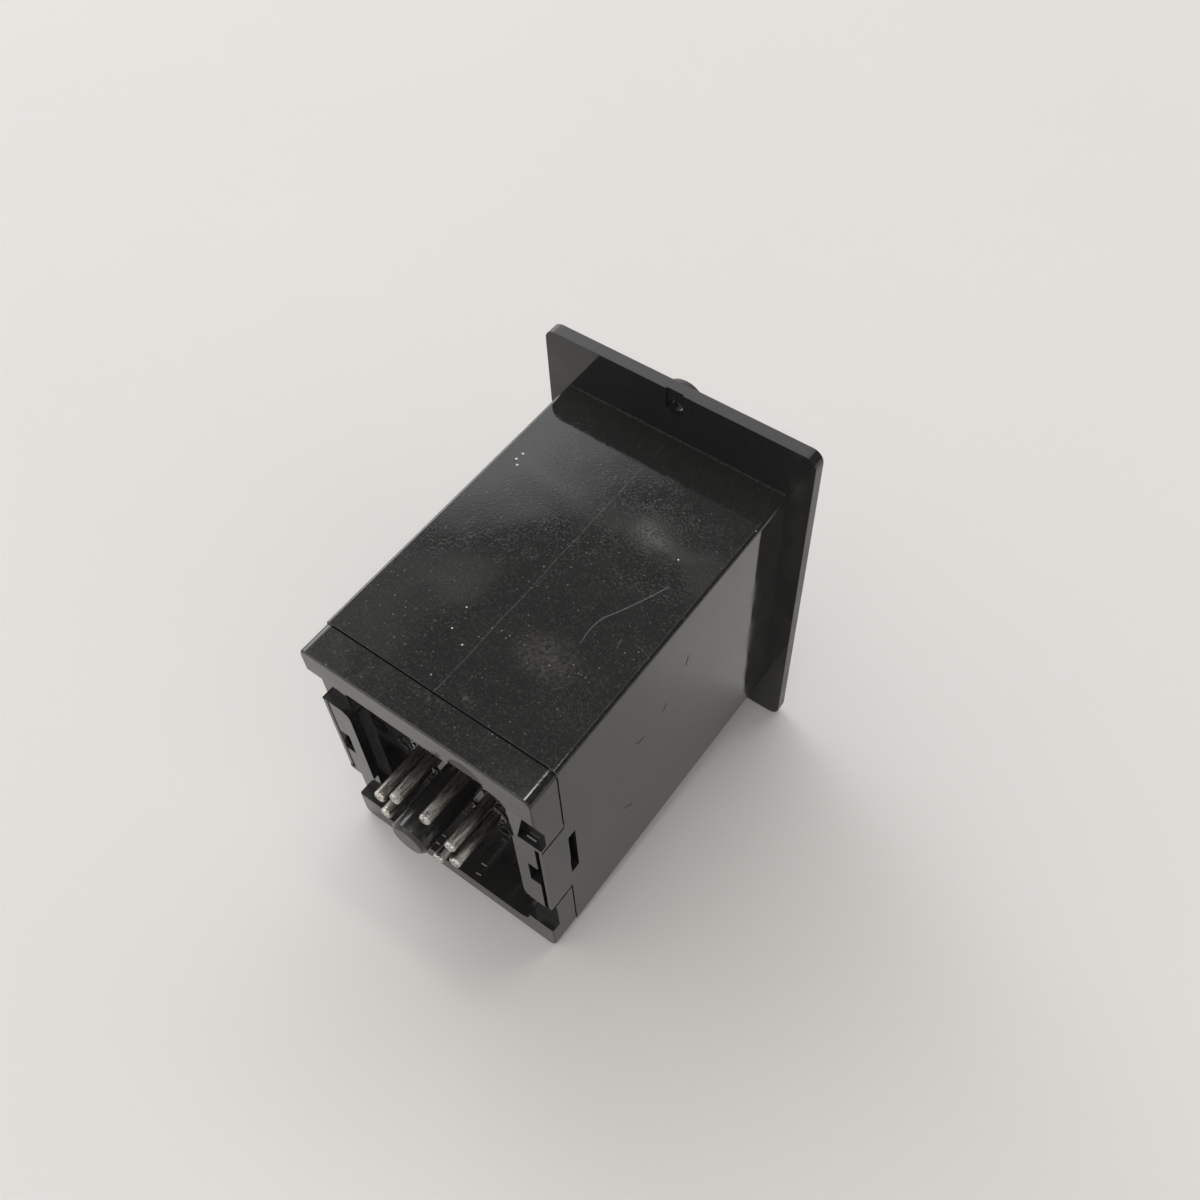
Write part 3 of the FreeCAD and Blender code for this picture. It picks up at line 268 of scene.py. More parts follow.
def casePlastic(look, marked):
    finish = dustyPlastic("case_plastic_look", look, lambda made: made.y.step(3.0, 15.0, 0.35, 1.0))
    x, y, z = finish.x, finish.y, finish.z
    top = (z > caseHalfHeight - 0.25) * (y > 0.2) * (z < caseHalfHeight + 0.25)
    # The marks of the top face: a faint straight line, a long scratch, short ticks and an arc,
    # a dull round smudge, a smear at the seam and the whorl of a fingerprint
    wander = (finish.noise(9.0) - 0.5) * 1.4
    line = abs(x - marked["line"] + wander * 0.4).step(0.03, 0.16, 1.0, 0.0) * (y > 2.0)
    line = line * finish.noise(0.8, 2.0).step(0.25, 0.6, 0.3, 1.0) * y.step(8.0, 60.0, 0.35, 1.0)
    names = ("scratch", "hook", "tick", "tail", "bend", "dark")
    scratch, hook, tick, tail, bend, dark = [finish.arc(x, y, *marked[name]) for name in names]
    patch = finish.noise(0.8, 4.0)
    smudge = finish.blob(x, y, *marked["smudge"]).root() * patch.step(0.35, 0.65, 0.15, 1.0)
    smear = finish.blob(x, y, *marked["smear"]) * patch.step(0.48, 0.6)
    flat = finish.stretched(1.0, 1.0, 0.0)
    fromCore = finish.node("ShaderNodeVectorMath", {"operation": "SUBTRACT"}, [flat, marked["whorlCore"]])
    rings = {"Vector": fromCore, "Scale": 0.62, "Distortion": 1.5, "Detail Scale": 0.3}
    kind = {"wave_type": "RINGS", "rings_direction": "SPHERICAL"}
    ridges = finish.node("ShaderNodeTexWave", kind, rings)
    whorl = ridges.step(0.5, 0.9) * finish.blob(x, y, *marked["whorl"]).root() * patch.step(0.4, 0.6)
    strokes = line * 0.1 + (scratch + hook) * 0.17 + (tick + tail * 0.6 + bend * 0.5) * 0.15
    strokes = strokes + smudge * 0.085 + smear * 0.12 + whorl * 0.05
    # A thin pale line along the foot of the bezel, in patches
    foot = abs(y - 0.1).step(0.04, 0.15, 1.0, 0.0) * (abs(z - caseHalfHeight) < 0.3)
    foot = foot * (abs(x) < caseHalfWidth - 0.5) * patch.step(0.35, 0.6, 0.15, 1.0)
    # Fine hairlines and finger marks on the sides
    side = abs(x) > caseHalfWidth - 0.2
    hair = finish.noise(1.0, 1.0, finish.stretched(1.0, 0.07, 2.4)).step(0.66, 0.74) * side * 0.03
    fingers = finish.noise(5.0, 4.0, finish.stretched(1.0, 1.0, 0.55)).step(0.45, 0.62) * side
    # The bezel's edges are finely grained and matte
    edge = (abs(x) > bezelHalfWidth - 0.12).most(abs(z) > bezelHalfHeight - 0.12)
    edge = edge.most(y < -2.6)
    marks = strokes * top + hair + fingers * 0.03 + foot * 0.14
    marks = (marks + finish.dust).least(1.0)
    colour = finish.mix(marks, look["black"], look["dust"])
    colour = finish.mix(edge * 0.8, colour, (0.036, 0.036, 0.036))
    rough = look["polish"] + finish.film * look["haze"] + marks * 0.5 + edge * 0.3
    rough = rough + smudge * top * 0.12 - dark * top * 0.07 + fingers * 0.045
    grain = finish.noise(0.28, 2.0) * edge
    normal = finish.bump(finish.noise(16.0, 1.0), 0.1)
    normal = finish.bump(grain, 0.1, normal)
    normal = finish.bump(marks, 0.05, normal)
    return finish.set(Base_Color=colour, Roughness=rough.least(1.0), Normal=normal)


baseMarks = {
    "smear": ((1.0, 67.7), 5.5, 1.4),
    "gate": ((-10.8, 24.7), 7.2, 7.2),
    "paintedGlint": (-21.6, 71.6, 12.3),
}


def basePlastic(look, marked):
    finish = dustyPlastic("base_plastic_look", look, lambda made: made.z.step(26.0, 28.0, 0.2, 1.0))
    x, y, z = finish.x, finish.y, finish.z
    # Light smear on the front of the cap, the matte gate mark behind the top strip,
    # a painted highlight as a thin bright stroke in the finger recess, and the dull end of the post
    patch = finish.noise(0.9, 4.0)
    smear = finish.blob(x, y, *marked["smear"]) * patch.step(0.45, 0.62)
    smear = smear * (z > caseHalfHeight - 0.3)
    rear = finish.facing()[1] > 0.6
    away = finish.blob(x, z, *marked["gate"])
    gate = away.step(0.47, 0.5) * rear * (z > 20.0) * (y > seamY + 3.0)
    rim = gate * away.step(0.5, 0.58, 1.0, 0.0)
    # A thin bright stroke in the finger recess: a painted highlight
    glintX, glintY, glintZ = marked["paintedGlint"]
    paintedGlint = abs(y - glintY).step(0.05, 0.17, 1.0, 0.0) * (abs(x - glintX) < 1.0) * (abs(z - glintZ) < 0.1)
    tipEnd = y > seamY + 14.0
    marks = smear * 0.09 + finish.dust * 1.2 + gate * 0.04 + rim * 0.12 + paintedGlint * 0.9
    marks = marks.least(1.0)
    colour = finish.mix(marks, look["black"], look["dust"])
    rough = look["polish"] + 0.02 + finish.film * look["haze"] + marks * 0.5 + gate * 0.35 + tipEnd * 0.25
    normal = finish.bump(finish.noise(7.0, 2.0), 0.08)
    normal = finish.bump(finish.noise(0.25, 2.0) * gate, 0.1, normal)
    normal = finish.bump(marks, 0.03, normal)
    return finish.set(Base_Color=colour, Roughness=rough.least(1.0), Normal=normal)


def tarnishedPin():
    # Dark brown near the root, streaky and grainy silver towards the tip
    finish = Finish("pin_metal_look")
    streak = finish.noise(0.45, 2.0, finish.stretched(1.0, 0.12, 1.0))
    grain = finish.noise(0.25, 3.0)
    patch = finish.noise(1.6, 3.0)
    bright = (finish.y + patch * 7.0).step(73.5, 81.0)
    brown = finish.mix(streak.step(0.3, 0.7), (0.15, 0.122, 0.108), (0.29, 0.252, 0.228))
    silver = finish.mix(streak.step(0.3, 0.7), (0.2, 0.18, 0.162), (0.68, 0.66, 0.625))
    silver = finish.mix(grain.step(0.5, 0.66) * 0.55, silver, (0.14, 0.12, 0.105))
    colour = finish.mix(bright, brown, silver)
    normal = finish.bump(streak, 0.06)
    normal = finish.bump(grain, 0.03, normal)
    return finish.set(Base_Color=colour, Roughness=0.2 + streak * 0.16, Metallic=0.92, Normal=normal)


def solder():
    finish = Finish("solder_look")
    lump = finish.noise(0.4, 3.0)
    colour = finish.mix(lump.step(0.35, 0.65), (0.24, 0.22, 0.2), (0.7, 0.69, 0.66))
    normal = finish.bump(lump, 0.07)
    return finish.set(Base_Color=colour, Roughness=0.2 + lump * 0.2, Metallic=0.95, Normal=normal)


def plainPlastic(name, colour, rough, grainDepth=0.02):
    finish = Finish(name)
    cloud = finish.noise(3.0, 3.0)
    paler = tuple(part * 1.25 + 0.004 for part in colour)
    normal = finish.bump(finish.noise(0.3, 2.0), grainDepth)
    shade = finish.mix(cloud, colour, paler)
    return finish.set(Base_Color=shade, Roughness=rough + cloud * 0.12, Normal=normal)


def metal(name, dark, light, rough, cell=0.6):
    finish = Finish(name)
    streak = finish.noise(cell, 3.0)
    colour = finish.mix(streak, dark, light)
    normal = finish.bump(streak, 0.02)
    return finish.set(Base_Color=colour, Roughness=rough + streak * 0.15, Metallic=1.0, Normal=normal)


def clearLens(name, colour):
    finish = Finish(name)
    depth = finish.noise(1.5, 2.0)
    shade = finish.mix(depth, colour, tuple(part * 0.6 for part in colour))
    return finish.set(Base_Color=shade, Roughness=0.08 + depth * 0.08, Coat_Weight=0.6)


def coverPlastic():
    finish = Finish("clear_plastic_look")
    cloud = finish.noise(6.0, 2.0)
    colour = finish.mix(cloud, (0.55, 0.6, 0.62), (0.7, 0.74, 0.75))
    return finish.set(Base_Color=colour, Roughness=0.1 + cloud * 0.1, Alpha=0.28 + cloud * 0.1)


def circuitBoard():
    # Green mask over copper tracks that run along and across
    finish = Finish("board_green_look")
    cells = {"Vector": finish.place, "Scale": 0.25}
    lines = finish.node("ShaderNodeTexVoronoi", {"feature": "DISTANCE_TO_EDGE"}, cells, "Distance")
    track = lines.step(0.06, 0.1, 1.0, 0.0)
    cloud = finish.noise(1.2, 3.0)
    green = finish.mix(cloud, (0.012, 0.075, 0.03), (0.02, 0.11, 0.045))
    colour = finish.mix(track * 0.6, green, (0.04, 0.2, 0.07))
    normal = finish.bump(track, 0.04)
    return finish.set(Base_Color=colour, Roughness=0.3 + cloud * 0.15, Normal=normal)


def windingCopper():
    finish = Finish("coil_copper_look")
    inputs = {"Vector": finish.place, "Scale": 1.6}
    turns = finish.node("ShaderNodeTexWave", {"bands_direction": "Z"}, inputs)
    colour = finish.mix(turns, (0.2, 0.055, 0.018), (0.62, 0.22, 0.09))
    normal = finish.bump(turns, 0.1)
    return finish.set(Base_Color=colour, Roughness=0.32 + turns * 0.1, Metallic=0.85, Normal=normal)


def capacitorSleeve():
    finish = Finish("capacitor_sleeve_look")
    cloud = finish.noise(2.0, 3.0)
    stripe = abs(finish.x - 11.5).step(1.4, 1.5, 1.0, 0.0) * (finish.y < 12.0)
    blue = finish.mix(cloud, (0.012, 0.02, 0.07), (0.02, 0.035, 0.1))
    colour = finish.mix(stripe, blue, (0.45, 0.47, 0.5))
    return finish.set(Base_Color=colour, Roughness=0.3 + cloud * 0.1)


# The middle of each band along Y, with its colour
resistorBands = [(47.5, (0.16, 0.05, 0.02)), (49.0, (0.01, 0.01, 0.012)), (50.5, (0.45, 0.08, 0.02))]


def bandedResistor(bands):
    finish = Finish("resistor_beige_look")
    cloud = finish.noise(0.8, 2.0)
    colour = finish.mix(cloud, (0.5, 0.38, 0.22), (0.58, 0.45, 0.28))
    for middle, paint in bands:
        band = abs(finish.y - middle).step(0.3, 0.36, 1.0, 0.0)
        colour = finish.mix(band, colour, paint)
    return finish.set(Base_Color=colour, Roughness=0.35 + cloud * 0.1)


finishes = {
    "case_plastic": casePlastic(plasticLook, topMarks),
    "base_plastic": basePlastic(plasticLook, baseMarks),
    "dial_black": plainPlastic("dial_black_look", (0.012, 0.012, 0.013), 0.42),
    "knob_plastic": plainPlastic("knob_plastic_look", (0.014, 0.014, 0.015), 0.3),
    "lamp_red": clearLens("lamp_red_look", (0.5, 0.02, 0.015)),
    "lamp_green": clearLens("lamp_green_look", (0.03, 0.4, 0.06)),
    "pin_metal": tarnishedPin(),
    "tinned_copper": metal("tinned_copper_look", (0.45, 0.43, 0.4), (0.72, 0.7, 0.67), 0.28),
    "plain_steel": metal("plain_steel_look", (0.32, 0.32, 0.33), (0.55, 0.55, 0.56), 0.3),
    "board_green": circuitBoard(),
    "relay_plastic": plainPlastic("relay_plastic_look", (0.015, 0.03, 0.08), 0.4),
    "clear_plastic": coverPlastic(),
    "coil_copper": windingCopper(),
    "bobbin_plastic": plainPlastic("bobbin_plastic_look", (0.5, 0.48, 0.42), 0.45),
    "contact_silver": metal("contact_silver_look", (0.68, 0.67, 0.64), (0.86, 0.85, 0.82), 0.22, 0.3),
    "spring_bronze": metal("spring_bronze_look", (0.42, 0.22, 0.09), (0.62, 0.38, 0.18), 0.25),
    "capacitor_sleeve": capacitorSleeve(),
    "film_yellow": plainPlastic("film_yellow_look", (0.62, 0.33, 0.03), 0.35),
    "component_black": plainPlastic("component_black_look", (0.012, 0.012, 0.012), 0.5, 0.05),
    "resistor_beige": bandedResistor(resistorBands),
}
solderFinish = solder()
# Near-black and without shine: painted shade in the seam and the slits, and the own colour of the fine
# hairs on the side
shadeAndHairFinish = plainPlastic("seam_shade_and_hair_look", (0.002, 0.0018, 0.0016), 0.85)
shadeAndHairFinish.set(Specular_IOR_Level=0.0)
# Pale grey for the raised marks on the pocket's lower wall: a painted highlight
glintMarkFinish = plainPlastic("glint_mark_look", (0.22, 0.215, 0.21), 0.2)
printFinish = plainPlastic("white_print_look", (0.6, 0.6, 0.57), 0.55)
crumbFinish = plainPlastic("crumb_look", (0.62, 0.6, 0.56), 0.85, 0.1)

for node in nodes.values():
    for place in node.material_slots:
        place.material = finishes[place.material.name].material
print("finishes:", len(finishes))


# Pieces that the solids don't have

def addPiece(name, shape, finish, body="housing", sharp=35):
    mesh = bpy.data.meshes.new(name)
    bmesh.ops.recalc_face_normals(shape, faces=shape.faces)
    for face in shape.faces:
        face.smooth = True
    shape.to_mesh(mesh)
    shape.free()
    mesh.set_sharp_from_angle(angle=math.radians(sharp))
    piece = bpy.data.objects.new(name, mesh)
    mesh.materials.append(finish.material)
    scene.collection.objects.link(piece)
    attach(piece, body)
    return piece


def spun(shape, profile, x, z, steps=24):
    # profile is (radius, y) in mm, spun about an axis along Y
    before = set(shape.verts)
    points = [shape.verts.new(at(x + radius, y, z)) for radius, y in profile]
    edges = [shape.edges.new(pair) for pair in zip(points, points[1:])]
    bmesh.ops.spin(shape, geom=points + edges, cent=at(x, 0, z), axis=(0, 1, 0), angle=math.tau,
                   steps=steps, use_merge=True)
    new = [vert for vert in shape.verts if vert not in before]
    bmesh.ops.remove_doubles(shape, verts=new, dist=0.00001)


def bar(shape, middle, size):
    made = bmesh.ops.create_cube(shape, size=1.0)["verts"]
    bmesh.ops.scale(shape, verts=made, vec=at(*size))
    bmesh.ops.translate(shape, verts=made, vec=at(*middle))
    return made


def turned(shape, verts, angle, axis, centre=(0, 0, 0)):
    bmesh.ops.rotate(shape, verts=verts, cent=centre, matrix=Matrix.Rotation(angle, 3, axis))


def softened(shape, width, segments):
    # Bevels every edge
    bmesh.ops.bevel(shape, geom=shape.edges, offset=width * mm, affect="EDGES", segments=segments,
                    profile=0.5, material=-1)


def pinPlaces():
    places = []
    for number in range(8):
        angle = math.tau * (number + 0.5) / 8
        places.append((pinCircle / 2 * math.sin(angle), -pinCircle / 2 * math.cos(angle)))
    return places


solderSize = {"start": 1.3, "past": 0.12, "radius": 1.19, "lump": 0.05, "cell": 0.6, "steps": 9}
bossSize = {"inner": 1.95, "outer": 2.6, "height": 0.4}
toothSize = {
    "inner": 1.6,
    "outer": 2.3,
    "width": 0.42,
    "taper": 0.35,
    "height": 0.3,
    "rise": 0.42,
    "edge": 0.05,
    "count": 5,
}


def solderTip(number, x, z, size):
    # A lumpy coat of solder over the end of the pin
    shape = bmesh.new()
    start = pinTipY - size["start"]
    radius = size["radius"]
    end = pinTipY + size["past"]
    profile = [(pinRadius - 0.1, start)]
    for step in range(size["steps"] + 1):
        profile.append((radius, start + 0.25 + (end - start - 0.85) * step / size["steps"]))
    profile += [(radius * 0.93, end - 0.2), (radius * 0.7, end), (radius * 0.4, end - 0.08), (0, end - 0.3)]
    spun(shape, profile, x, z, 20)
    axis = at(x, 0, z)
    for vert in shape.verts:
        away = vert.co - axis
        away.y = 0
        rise = noise.noise(vert.co / (size["cell"] * mm))
        swell = min(1.0, max(0.0, (vert.co.y / mm - start) / 1.2))
        if away.length > 0:
            vert.co += away.normalized() * rise * size["lump"] * swell * mm
    addPiece("solderTip_" + str(number), shape, solderFinish, sharp=60)


def pinBoss(number, x, z, size):
    # The moulded ring around the root of a pin
    shape = bmesh.new()
    inner, outer = size["inner"], size["outer"]
    top = seamY + size["height"]
    profile = [(outer, seamY - 0.1), (outer, top - 0.2), (outer - 0.2, top)]
    profile += [(inner + 0.15, top), (inner, top - 0.15), (inner, seamY - 0.1)]
    spun(shape, profile, x, z, 32)
    addPiece("pinBoss_" + str(number), shape, finishes["base_plastic"])


def crimpStar(number, x, z, size):
    # Small glossy teeth pressed out round the root
    shape = bmesh.new()
    length = size["outer"] - size["inner"]
    middle = size["inner"] + length / 2
    for tooth in range(size["count"]):
        made = bar(shape, (0, 0, 0), (length, size["height"], size["width"]))
        for vert in made:
            if vert.co.x > 0:
                vert.co.z *= size["taper"]
        bmesh.ops.translate(shape, verts=made, vec=at(middle, seamY + size["rise"], 0))
        turned(shape, made, math.tau * (tooth + 0.3 * number) / size["count"], "Y")
        bmesh.ops.translate(shape, verts=made, vec=at(x, 0, z))
    softened(shape, size["edge"], 1)
    addPiece("crimpStar_" + str(number), shape, finishes["base_plastic"])


for number, (x, z) in enumerate(pinPlaces(), 1):
    solderTip(number, x, z, solderSize)
    pinBoss(number, x, z, bossSize)
    crimpStar(number, x, z, toothSize)
print("pins dressed")


# A ring with the pin's number in it, raised from the floor of the pocket between the pins
markSize = {"circle": 13.05, "inner": 1.5, "outer": 1.8, "rise": 0.22, "height": 2.3, "thick": 0.3}


def raisedText(words, height, thick, stand, place):
    curve = bpy.data.curves.new("drawnText", "FONT")
    curve.body = words
    curve.size = height * mm
    curve.align_x = "CENTER"
    curve.align_y = "CENTER"
    curve.extrude = thick / 2 * mm
    drawn = bpy.data.objects.new("drawnText", curve)
    scene.collection.objects.link(drawn)
    bpy.context.view_layer.update()
    solved = drawn.evaluated_get(bpy.context.evaluated_depsgraph_get())
    mesh = bpy.data.meshes.new_from_object(solved)
    bpy.data.objects.remove(drawn)
    shape = bmesh.new()
    shape.from_mesh(mesh)
    bpy.data.meshes.remove(mesh)
    bmesh.ops.transform(shape, matrix=Matrix.Translation(place) @ stand, verts=shape.verts)
    bmesh.ops.remove_doubles(shape, verts=shape.verts, dist=0.00001)
    return shape


def pinMark(number, size):
    angle = math.tau * (number - 1) / 8
    x = size["circle"] * math.sin(angle)
    z = -size["circle"] * math.cos(angle)
    stand = Matrix.Rotation(math.pi, 4, "Z") @ Matrix.Rotation(math.pi / 2, 4, "X")
    top = seamY + size["rise"]
    place = at(x, top - size["thick"] / 2, z)
    shape = raisedText(str(number), size["height"], size["thick"], stand, place)
    inner, outer = size["inner"], size["outer"]
    profile = [(outer, seamY - 0.1), (outer, top - 0.1), (outer - 0.1, top)]
    profile += [(inner + 0.1, top), (inner, top - 0.1), (inner, seamY - 0.1)]
    spun(shape, profile, x, z, 28)
    addPiece("pinMark_" + str(number), shape, finishes["base_plastic"])


for number in range(1, 9):
    pinMark(number, markSize)


# Painted shade: near-black strips laid in the open seam between case and cap, and in the slits beside the
# latch tongues
jointSize = {
    "seam": 0.3,
    "slit": 0.46,
    "sunk": 0.05,
    "out": 0.02,
    "corner": 1.7,
    "thick": 0.16,
    "slitEnd": 72.5,
    "latchGap": 0.08,
}


def darkJoints(size):
    shape = bmesh.new()
    deep = size["sunk"] + size["thick"] / 2
    wide = 2 * (caseHalfWidth - size["corner"])
    ends = caseHalfHeight - size["corner"]
    edge = latchHalf + size["latchGap"]
    for up in (-1, 1):
        bar(shape, (0, seamY, up * (caseHalfHeight - deep)), (wide, size["seam"], size["thick"]))
        for side in (-1, 1):
            start = side * latchMiddle + up * edge
            length = abs(up * ends - start)
            place = (side * (caseHalfWidth - deep), seamY, start + up * length / 2)
            bar(shape, place, (size["thick"], size["seam"], length))
            slit = size["slitEnd"] - seamY
            place = (side * (caseHalfWidth + size["out"] - size["thick"] / 2), seamY + slit / 2, start)
            bar(shape, place, (size["thick"], slit, size["slit"]))
    addPiece("darkJoints", shape, shadeAndHairFinish)


darkJoints(jointSize)

# Each glint mark's X, Y and length, and what they share
glintMarkPlaces = [(-4.4, 69.65, 1.3), (-4.7, 71.75, 1.1), (6.1, 69.6, 1.2), (5.9, 71.5, 0.9)]
glintMarkSize = {"wallZ": -25.8, "rise": 0.05, "wide": 0.24, "thick": 0.2, "turn": 4, "edge": 0.05}


def rubbedMarks(places, size):
    # Small raised marks on the pocket's lower wall, their pale colour a painted highlight
    shape = bmesh.new()
    for x, y, length in places:
        made = bar(shape, (x, y, size["wallZ"] + size["rise"]), (length, size["wide"], size["thick"]))
        turned(shape, made, math.radians(size["turn"]), "Z", at(x, y, size["wallZ"]))
    softened(shape, size["edge"], 2)
    addPiece("rubbedMarks", shape, glintMarkFinish)


rubbedMarks(glintMarkPlaces, glintMarkSize)

# Fine dark hairs that lie on the right side face, each a chain of places in Y and Z
hairSize = {"thick": 0.05, "wide": 0.06, "out": 0.02}
hairPlaces = [
    [(37.2, 10.5), (37.4, 9.8), (38.2, 9.1)],
    [(43.9, 8.3), (45.0, 8.45), (46.2, 9.1)],
    [(50.6, -9.0), (49.2, -10.1), (47.9, -11.4)],
    [(30.5, 17.5), (31.0, 16.4), (31.2, 15.2)],
]


def sideHairs(places, size):
    shape = bmesh.new()
    for chain in places:
        for (y0, z0), (y1, z1) in zip(chain, chain[1:]):
            length = math.hypot(y1 - y0, z1 - z0)
            made = bar(shape, (0, 0, 0), (size["thick"], length, size["wide"]))
            turned(shape, made, math.atan2(z1 - z0, y1 - y0), "X")
            place = at(-caseHalfWidth - size["out"], (y0 + y1) / 2, (z0 + z1) / 2)
            bmesh.ops.translate(shape, verts=made, vec=place)
    addPiece("sideHairs", shape, shadeAndHairFinish)


sideHairs(hairPlaces, hairSize)
print("seams and marks added")


crumbSize = {
    "large": 0.26,
    "small": 0.15,
    "flat": 0.5,
    "rough": 0.5,
    "cell": 0.25,
    "largePlaces": [(19.5, 21.5), (20.3, 18.8), (20.5, 20.5)],
    "smallPlaces": [(6.0, 55.5), (6.8, 50.9), (2.5, 57.0), (-16.5, 22.5)],
}


def topCrumbs(size):
    shape = bmesh.new()
    places = size["largePlaces"] + size["smallPlaces"]
    for number, (x, y) in enumerate(places):
        radius = size["large"] if number < len(size["largePlaces"]) else size["small"]
        made = bmesh.ops.create_icosphere(shape, subdivisions=2, radius=radius * mm)["verts"]
        for vert in made:
            lump = noise.noise(vert.co / (size["cell"] * mm) + Vector((number, 0, 0)))
            vert.co *= 1 + size["rough"] * lump
            vert.co.z *= size["flat"]
        bmesh.ops.translate(shape, verts=made, vec=at(x, y, caseHalfHeight + 0.05))
    addPiece("topCrumbs", shape, crumbFinish, sharp=80)


topCrumbs(crumbSize)


dialSize = {
    "inner": 15.2,
    "outer": 17.2,
    "small": 16.2,
    "width": 0.35,
    "fine": 0.21,
    "out": 0.02,
    "numbers": 18.9,
    "height": 3.51,
    "ticks": 51,
    "thick": 0.06,
}
dialStart = 230
dialStep = 28


def dialAngle(step):
    # The scale runs over 280 degrees, from 0 at the lower left to 10 at the lower right
    return math.radians(dialStart - dialStep * step)


def dialTicks(size):
    shape = bmesh.new()
    for step in range(size["ticks"]):
        big = step % 5 == 0
        outer = size["outer"] if big else size["small"]
        length = outer - size["inner"]
        width = size["width"] if big else size["fine"]
        middle = (size["inner"] + length / 2, dialFaceY - size["out"], 0)
        made = bar(shape, middle, (length, size["thick"], width))
        turned(shape, made, -dialAngle(step / 5), "Y")
        bmesh.ops.translate(shape, verts=made, vec=at(0, 0, knobZ))
    addPiece("dialTicks", shape, printFinish)


def dialNumber(value, size):
    angle = dialAngle(value)
    radius = size["numbers"]
    place = at(radius * math.cos(angle), dialFaceY - size["out"], knobZ + radius * math.sin(angle))
    stand = Matrix.Rotation(math.pi / 2, 4, "X")
    shape = raisedText(str(value), size["height"], size["thick"], stand, place)
    addPiece("dialNumber_" + str(value), shape, printFinish)


dialTicks(dialSize)
for value in range(11):
    dialNumber(value, dialSize)

pointerSize = {"width": 0.9, "inner": 3.5, "outer": 9.0, "thick": 0.2, "out": 0.02}


def knobPointer(size):
    # White line on the knob's front, from near the middle to the rim
    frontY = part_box("setting_knob")[0].y / mm
    shape = bmesh.new()
    length = size["outer"] - size["inner"]
    middle = (0, frontY + size["thick"] / 2 - size["out"], knobZ + size["inner"] + length / 2)
    bar(shape, middle, (size["width"], size["thick"], length))
    addPiece("knobPointer", shape, printFinish, "knob")


knobPointer(pointerSize)
print("dial and knob dressed")


# Floor, lamps and camera

floorLook = {"point": (0, 73.16, -30.35), "tilt": 9.35, "half": 1500, "colour": (0.74, 0.725, 0.71)}


def paleFloor(look):
    shape = bmesh.new()
    turn = Matrix.Rotation(math.radians(look["tilt"]), 4, "X")
    place = Matrix.Translation(at(*look["point"]))
    bmesh.ops.create_grid(shape, x_segments=1, y_segments=1, size=look["half"] * mm, matrix=place @ turn)
    mesh = bpy.data.meshes.new("paleFloor")
    shape.to_mesh(mesh)
    shape.free()
    floor = bpy.data.objects.new("paleFloor", mesh)
    scene.collection.objects.link(floor)
    finish = Finish("pale_floor_look")
    cloud = finish.noise(160.0, 2.0)
    darker = tuple(part * 0.96 for part in look["colour"])
    finish.set(Base_Color=finish.mix(cloud, darker, look["colour"]), Roughness=0.85)
    mesh.materials.append(finish.material)


paleFloor(floorLook)

lampPlan = {"place": (1050, -390, 500), "aim": (0, 40, 0), "size": 420, "power": 0.8}


def softLamp(plan):
    light = bpy.data.lights.new("softLamp", "AREA")
    light.shape = "SQUARE"
    light.size = plan["size"] * mm
    light.energy = plan["power"]
    lamp = bpy.data.objects.new("softLamp", light)
    away = at(*plan["place"]) - at(*plan["aim"])
    turn = away.to_track_quat("Z", "Y").to_matrix().to_4x4()
    lamp.matrix_world = Matrix.Translation(at(*plan["place"])) @ turn
    scene.collection.objects.link(lamp)


softLamp(lampPlan)

cameraPlan = {
    "place": (-86.33, 128.72, 199.47),
    "right": (-0.8028, -0.5952, -0.0366),
    "up": (0.4704, -0.6698, 0.5745),
    "back": (-0.3664, 0.4440, 0.8177),
    "lens": 37.247,
}

roomLook = {
    "around": 0.64,
    "ceiling": 0.24,
    "window": 0.95,
    "windowCore": 1.0,
    "glow": 0.55,
    "tube": 0.65,
    "spot": 1.8,
    "above": 14.0,
    "fringe": 0.36,
    "patch": 0.75,
    "low": 2.4,
    "dark": 0.12,
    "seen": 0.74,
}

# Patches in the room's light, each with its place, width, height and, where it is turned, its angle
roomSpots = {
    "spot": ((-9.7, 20.8), 8.0, 6.5),
    "patch": ((11.5, 46.5), 8.0, 4.5, 40),
    "above": ((-98.0, 78.0), 42.0, 12.0),
    "plain": ((0.0, 34.0), 70.0, 75.0),
}


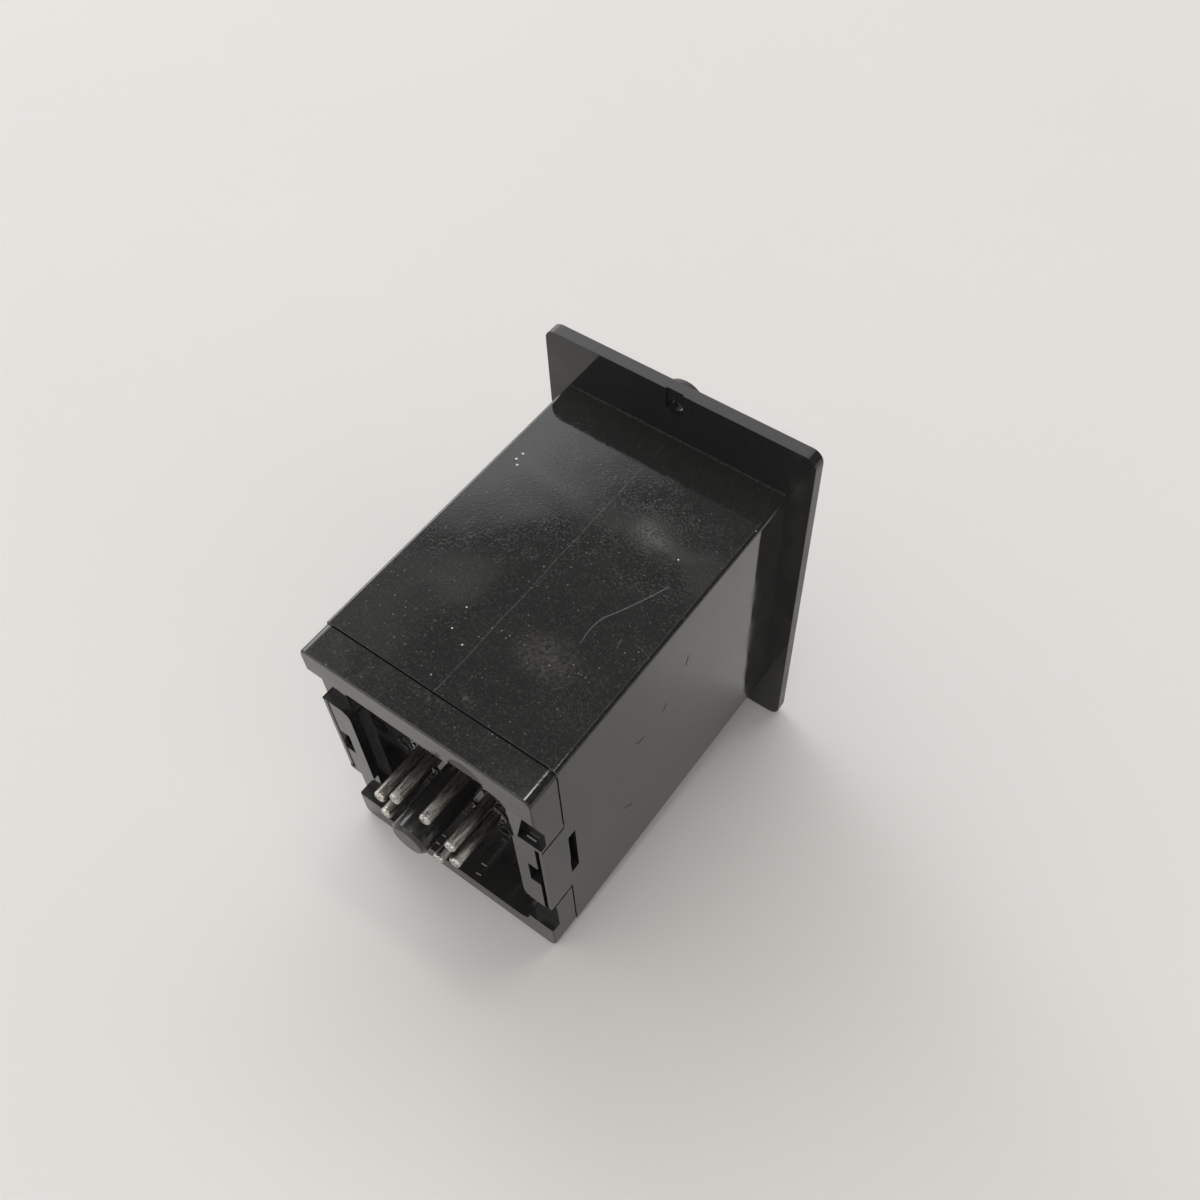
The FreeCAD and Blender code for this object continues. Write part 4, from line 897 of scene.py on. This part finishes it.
def roomLight(plan, look, spots):
    # A soft room. Its directions are named by the place where the camera sees them in the case's top face.
    world = bpy.data.worlds.new("roomLight")
    world.use_nodes = True
    room = Recipe(world.node_tree, "Generated", 1.0)
    x0, y0, z0 = plan["place"]
    reach = z0 - caseHalfHeight
    upward = room.z.most(0.02)
    u = room.x / upward * reach + x0
    v = room.y / upward * reach + y0
    over = v - 9.0
    bent = over.most(0.0)
    border = bent * bent * 0.0204 + over.least(0.0) * 1.6 + 1.0
    inside = (u - border).step(-3.5, 4.5) * (u - 300.0).step(0.0, 120.0, 1.0, 0.0)
    inside = inside * (v + 60.0).step(-50.0, 0.0)
    core = (u - border).step(4.0, 22.0)
    streak = room.noise(0.05, 2.0)
    tube = abs(v - 21.5).step(1.0, 4.5, 1.0, 0.0) * streak.step(0.3, 0.7, 0.6, 1.2)
    tube = tube * (u + 34.0).step(0.0, 14.0) * (u - 24.0).step(-8.0, 0.0, 1.0, 0.0)
    spot = room.blob(u, v, *spots["spot"])
    patch = room.blob(u, v, *spots["patch"])
    above = room.blob(u, v, *spots["above"])
    fringe = (u - 8.0).step(0.0, 9.0) * (v - 40.0).step(0.0, 8.0)
    fringe = fringe.most((v - 67.0).step(0.0, 6.0) * (u + 12.0).step(-12.0, 0.0, 1.0, 0.0))
    plain = room.blob(u, v, *spots["plain"]).step(0.0, 0.35, look["around"], look["ceiling"])
    level = plain + inside * (core * look["windowCore"] + look["window"])
    level = level + tube * look["tube"] + spot * look["spot"]
    level = level + patch * look["patch"] + above * look["above"] + fringe * (1.0 - inside) * look["fringe"]
    # A low window and a broad glow from the left, and a dark screen to the right
    low = abs(room.y + 0.42).step(0.1, 0.2, 1.0, 0.0) * room.x.step(0.4, 0.6)
    low = low * room.z.step(0.04, 0.12) * room.z.step(0.4, 0.52, 1.0, 0.0)
    level = level + low * look["low"]
    glow = (room.x * 0.94 + room.y * 0.34).step(0.2, 0.95) * room.z.step(0.35, 0.85, 1.0, 0.0)
    level = level + glow * (1.0 - inside) * look["glow"]
    screen = abs(room.y + 0.43).step(0.18, 0.3, 1.0, 0.0) * room.x.step(-0.26, -0.14, 1.0, 0.0)
    level = level * (1.0 - screen * (1.0 - look["dark"]))
    level = (room.z > 0.02) * (level - look["around"]) + look["around"]
    colour = room.mix(inside, (1.0, 0.985, 0.96), (0.97, 0.985, 1.0))
    # Seen directly, the room is one plain pale tone
    seen = room.node("ShaderNodeLightPath", {}, {}, "Is Camera Ray")
    level = level * (1.0 - seen) + seen * look["seen"]
    background = world.node_tree.nodes["Background"]
    room.feed(background.inputs["Color"], colour)
    room.feed(background.inputs["Strength"], level)
    scene.world = world


roomLight(cameraPlan, roomLook, roomSpots)
scene.view_settings.view_transform = "Standard"


def addCamera(plan):
    data = bpy.data.cameras.new("photoCamera")
    data.lens = plan["lens"]
    data.sensor_width = 36
    data.clip_start = 0.005
    camera = bpy.data.objects.new("photoCamera", data)
    turn = Matrix((plan["right"], plan["up"], plan["back"])).transposed().to_4x4()
    camera.matrix_world = Matrix.Translation(at(*plan["place"])) @ turn
    scene.collection.objects.link(camera)
    scene.camera = camera


addCamera(cameraPlan)
print("stage set")
